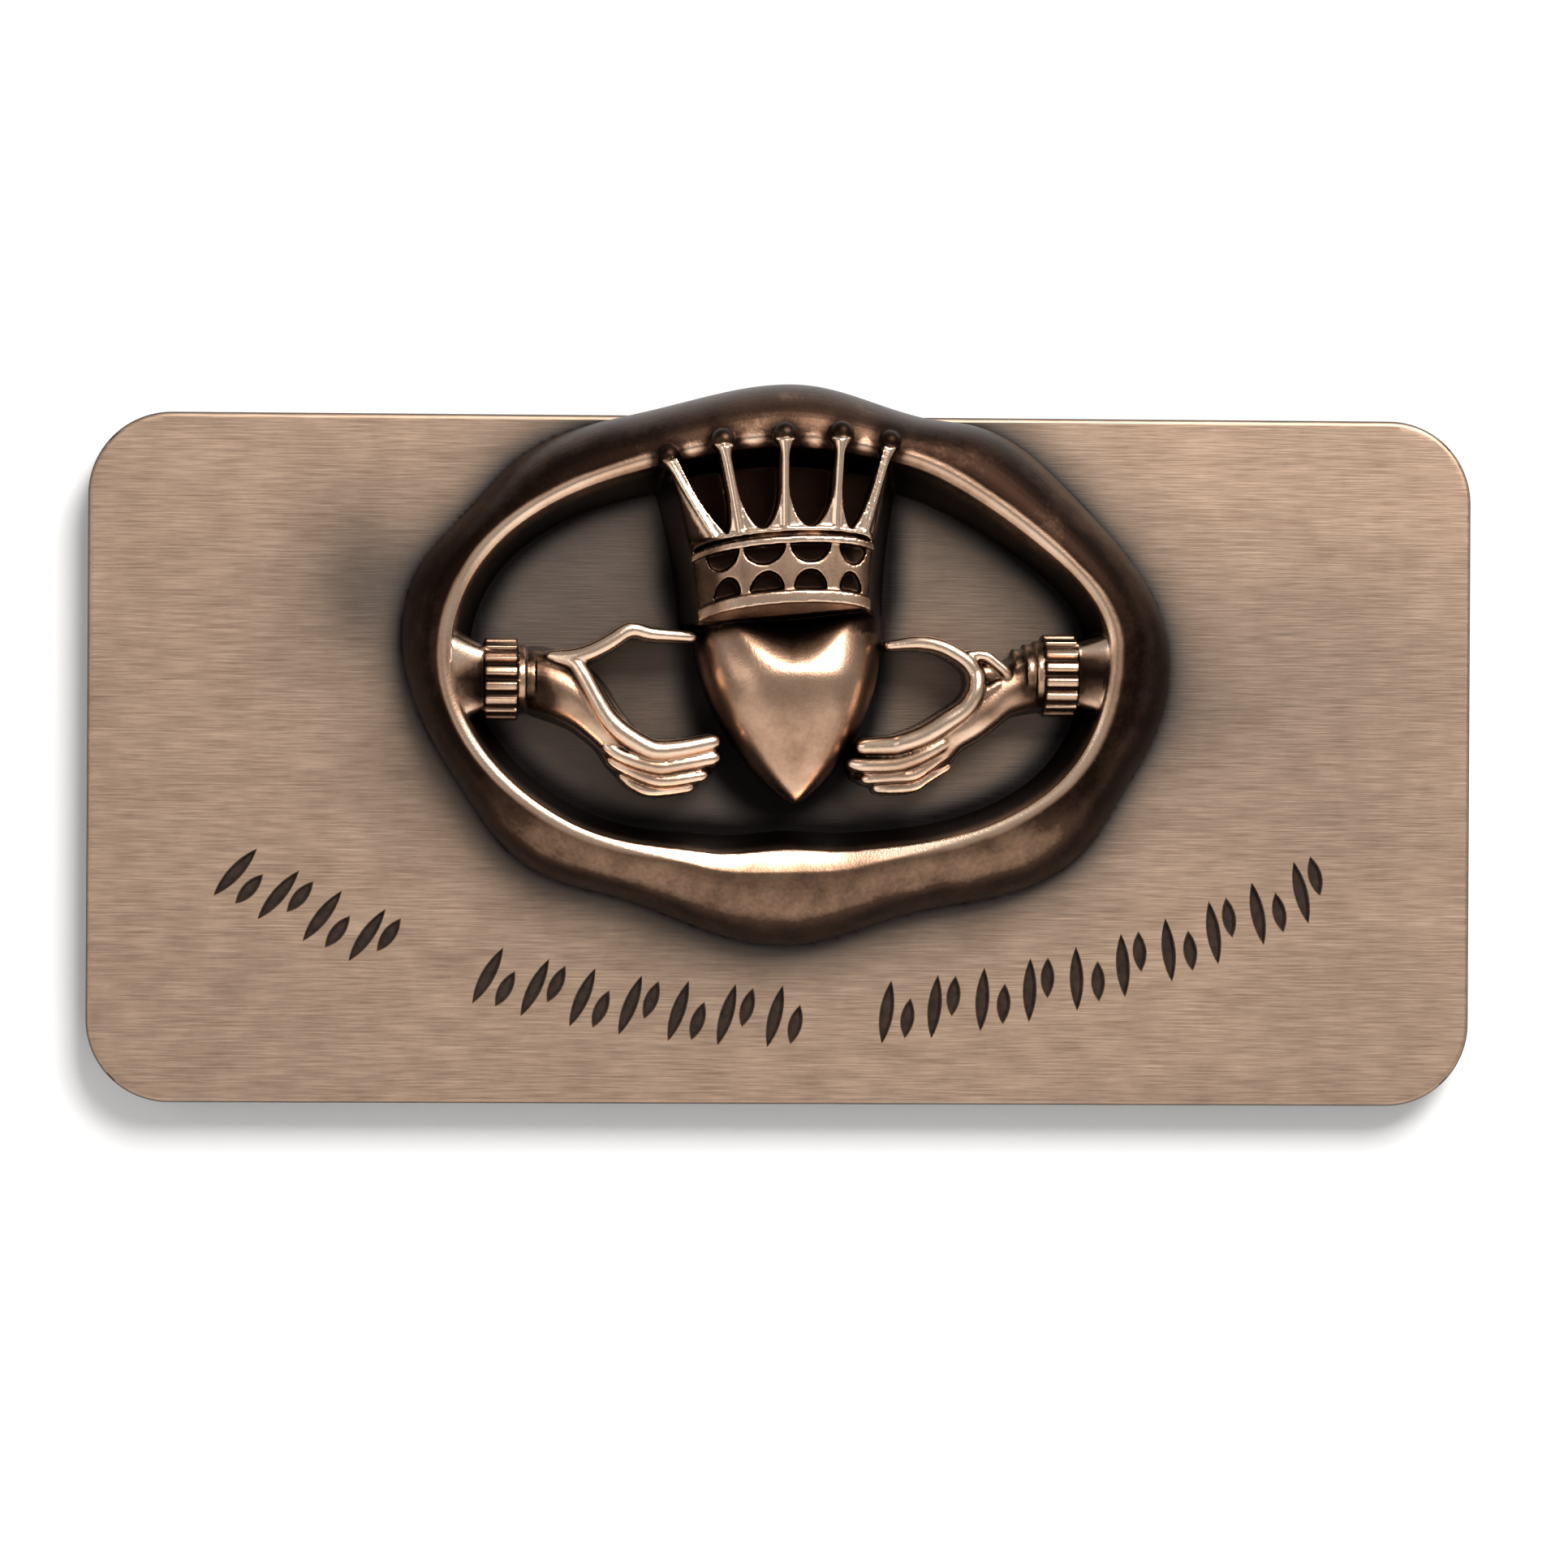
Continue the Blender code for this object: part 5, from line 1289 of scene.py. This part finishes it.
def plate_material():
    """Tan bronze, brushed from side to side, darker round and inside the relief, with painted shade in its
    halo, clouds and sides.
    """
    material, tree, shader = new_material("plate_bronze")
    dark = node(tree, "ShaderNodeAttribute", attribute_name="patina_and_shade").outputs["Fac"]
    streaks = noise(tree, 6500, 2, stretch=(0.04, 1, 1))
    bands = noise(tree, 1300, 2, stretch=(0.05, 1, 1))
    mottle = noise(tree, 260, 4, stretch=(0.8, 1, 1), roughness=0.65)
    clouds = noise(tree, 60, 4, stretch=(0.7, 1, 1), roughness=0.6)
    weave = maths(tree, "ADD", span(tree, streaks, 0.0, 0.46), span(tree, bands, 0.0, 0.18))
    weave = maths(tree, "ADD", weave, span(tree, mottle, 0.0, 0.36))
    bare = ramp(tree, weave, [
        (0.34, (0.27, 0.18, 0.125, 1)), (0.5, (0.36, 0.25, 0.18, 1)), (0.66, (0.46, 0.325, 0.235, 1)),
    ])
    share = maths(tree, "ADD", dark, span(tree, clouds, -0.13, 0.13), clamp=True)
    darkened = node(tree, "ShaderNodeMix", {
        0: maths(tree, "DIVIDE", share, DARK_TONE_SHARE, clamp=True), 6: bare, 7: (0.075, 0.062, 0.055, 1),
    }, data_type="RGBA")
    past = maths(tree, "SUBTRACT", share, DARK_TONE_SHARE)
    black = maths(tree, "MULTIPLY", past, 1 / (1 - DARK_TONE_SHARE), clamp=True)
    aged_and_shaded = node(tree, "ShaderNodeMix", {
        0: black, 6: darkened.outputs[2], 7: (0.010, 0.008, 0.008, 1),
    }, data_type="RGBA")
    tree.links.new(aged_and_shaded.outputs[2], shader.inputs["Base Color"])
    shader.inputs["Metallic"].default_value = 1.0
    tree.links.new(span(tree, streaks, 0.38, 0.56), shader.inputs["Roughness"])
    bump = node(tree, "ShaderNodeBump", {"Height": streaks, "Strength": 0.25, "Distance": 0.05 * MM})
    tree.links.new(bump.outputs[0], shader.inputs["Normal"])
    return material


def stroke_material():
    """The dark fill in the inscription's strokes."""
    material, tree, shader = new_material("stroke_fill")
    tree.links.new(ramp(tree, noise(tree, 1500, 3), [
        (0.3, (0.014, 0.008, 0.006, 1)), (0.75, (0.034, 0.020, 0.014, 1)),
    ]), shader.inputs["Base Color"])
    shader.inputs["Specular IOR Level"].default_value = 0.15
    shader.inputs["Roughness"].default_value = 0.8
    return material


def wall_material():
    """Plain white, and clear from behind, so that the plaque's back can be looked at."""
    material, tree, shader = new_material("white_wall")
    shader.inputs["Base Color"].default_value = (0.72, 0.72, 0.72, 1)
    shader.inputs["Roughness"].default_value = 0.9
    shader.inputs["Specular IOR Level"].default_value = 0.1
    clear = node(tree, "ShaderNodeBsdfTransparent")
    behind = node(tree, "ShaderNodeNewGeometry").outputs["Backfacing"]
    mixed = node(tree, "ShaderNodeMixShader", {0: behind, 1: shader.outputs[0], 2: clear.outputs[0]})
    tree.links.new(mixed.outputs[0], tree.nodes["Material Output"].inputs["Surface"])
    return material


def floor_material():
    material, _, shader = new_material("pale_floor")
    shader.inputs["Base Color"].default_value = (0.82, 0.82, 0.82, 1)
    shader.inputs["Roughness"].default_value = 0.8
    return material


def make_wall():
    """A white wall just behind the plaque, left open where the plate covers it, and a pale floor below."""
    bm = bmesh.new()
    half = WALL_SIZE / 2
    outer = [bm.verts.new((x * half, y * half, -WALL_GAP)) for x, y in ((-1, -1), (1, -1), (1, 1), (-1, 1))]
    radius = PLATE_CORNER_RADIUS - WALL_HOLE_INSET
    across = PLATE_WIDTH / 2 - WALL_HOLE_INSET - radius
    up = PLATE_HEIGHT / 2 - WALL_HOLE_INSET - radius
    hole = []
    for corner, (x, y) in enumerate(((1, 1), (-1, 1), (-1, -1), (1, -1))):
        for i in range(CORNER_SEGMENTS + 1):
            turn = pi / 2 * (corner + i / CORNER_SEGMENTS)
            place = (x * across + radius * cos(turn), y * up + radius * sin(turn), -WALL_GAP)
            hole.append(bm.verts.new(place))
    edges = []
    for ring in (outer, hole):
        edges += [bm.edges.new((ring[i - 1], ring[i])) for i in range(len(ring))]
    bmesh.ops.triangle_fill(bm, edges=edges, use_beauty=True)
    for face in bm.faces:
        face.normal_update()
        if face.normal.z < 0:
            face.normal_flip()
    wall = mesh_object("wall", bm, outwards=False)
    wall.data.transform(STAND)
    wall.data.materials.append(wall_material())
    bm = bmesh.new()
    bmesh.ops.create_grid(bm, x_segments=1, y_segments=1, size=half)
    floor = mesh_object("floor", bm)
    floor.location = (0, 0, PLATE_LOW.z - FLOOR_DROP)
    floor.data.materials.append(floor_material())


def softbox(name, place, size, power, color=(1.0, 1.0, 1.0)):
    """A square area light at a place in metres, aimed at the plaque."""
    light = bpy.data.lights.new(name, "AREA")
    light.size = size
    light.energy = power
    light.color = color
    lamp = linked(name, light)
    lamp.location = place
    lamp.rotation_mode = "QUATERNION"
    lamp.rotation_quaternion = (-Vector(place)).to_track_quat("-Z", "Y")


def make_light():
    """A large key light high on the right, a weak fill on the left, and a pale surrounding."""
    softbox("key", KEY_PLACE, KEY_SIZE, KEY_POWER, KEY_COLOR)
    softbox("fill", FILL_PLACE, FILL_SIZE, FILL_POWER)
    world = bpy.data.worlds.new("studio")
    world.use_nodes = True
    background = world.node_tree.nodes["Background"]
    background.inputs["Color"].default_value = (1, 1, 1, 1)
    background.inputs["Strength"].default_value = SURROUNDING_STRENGTH
    bpy.context.scene.world = world


def make_camera():
    lens = bpy.data.cameras.new("camera")
    lens.sensor_width = SENSOR_MM
    lens.lens = SENSOR_MM * CAMERA_DISTANCE / FRAME_WIDTH
    lens.clip_start = 0.01
    lens.clip_end = 20
    camera = linked("camera", lens)
    yaw = radians(CAMERA_YAW_DEG)
    turned = Matrix.Rotation(yaw, 4, "Z")
    upright = Matrix.Rotation(pi / 2, 4, "X")
    rolled = Matrix.Rotation(radians(CAMERA_ROLL_DEG), 4, "Z")
    target = Vector((FRAME_CENTRE[0], PLATE_LOW.y, FRAME_CENTRE[1]))
    back = Matrix.Translation((0, 0, CAMERA_DISTANCE))
    camera.matrix_world = Matrix.Translation(target) @ turned @ upright @ rolled @ back
    bpy.context.scene.camera = camera


def main():
    scene = bpy.context.scene
    scene.view_settings.view_transform = "Standard"
    make_camera()
    make_light()
    make_wall()
    make_plate()
    make_relief()


main()
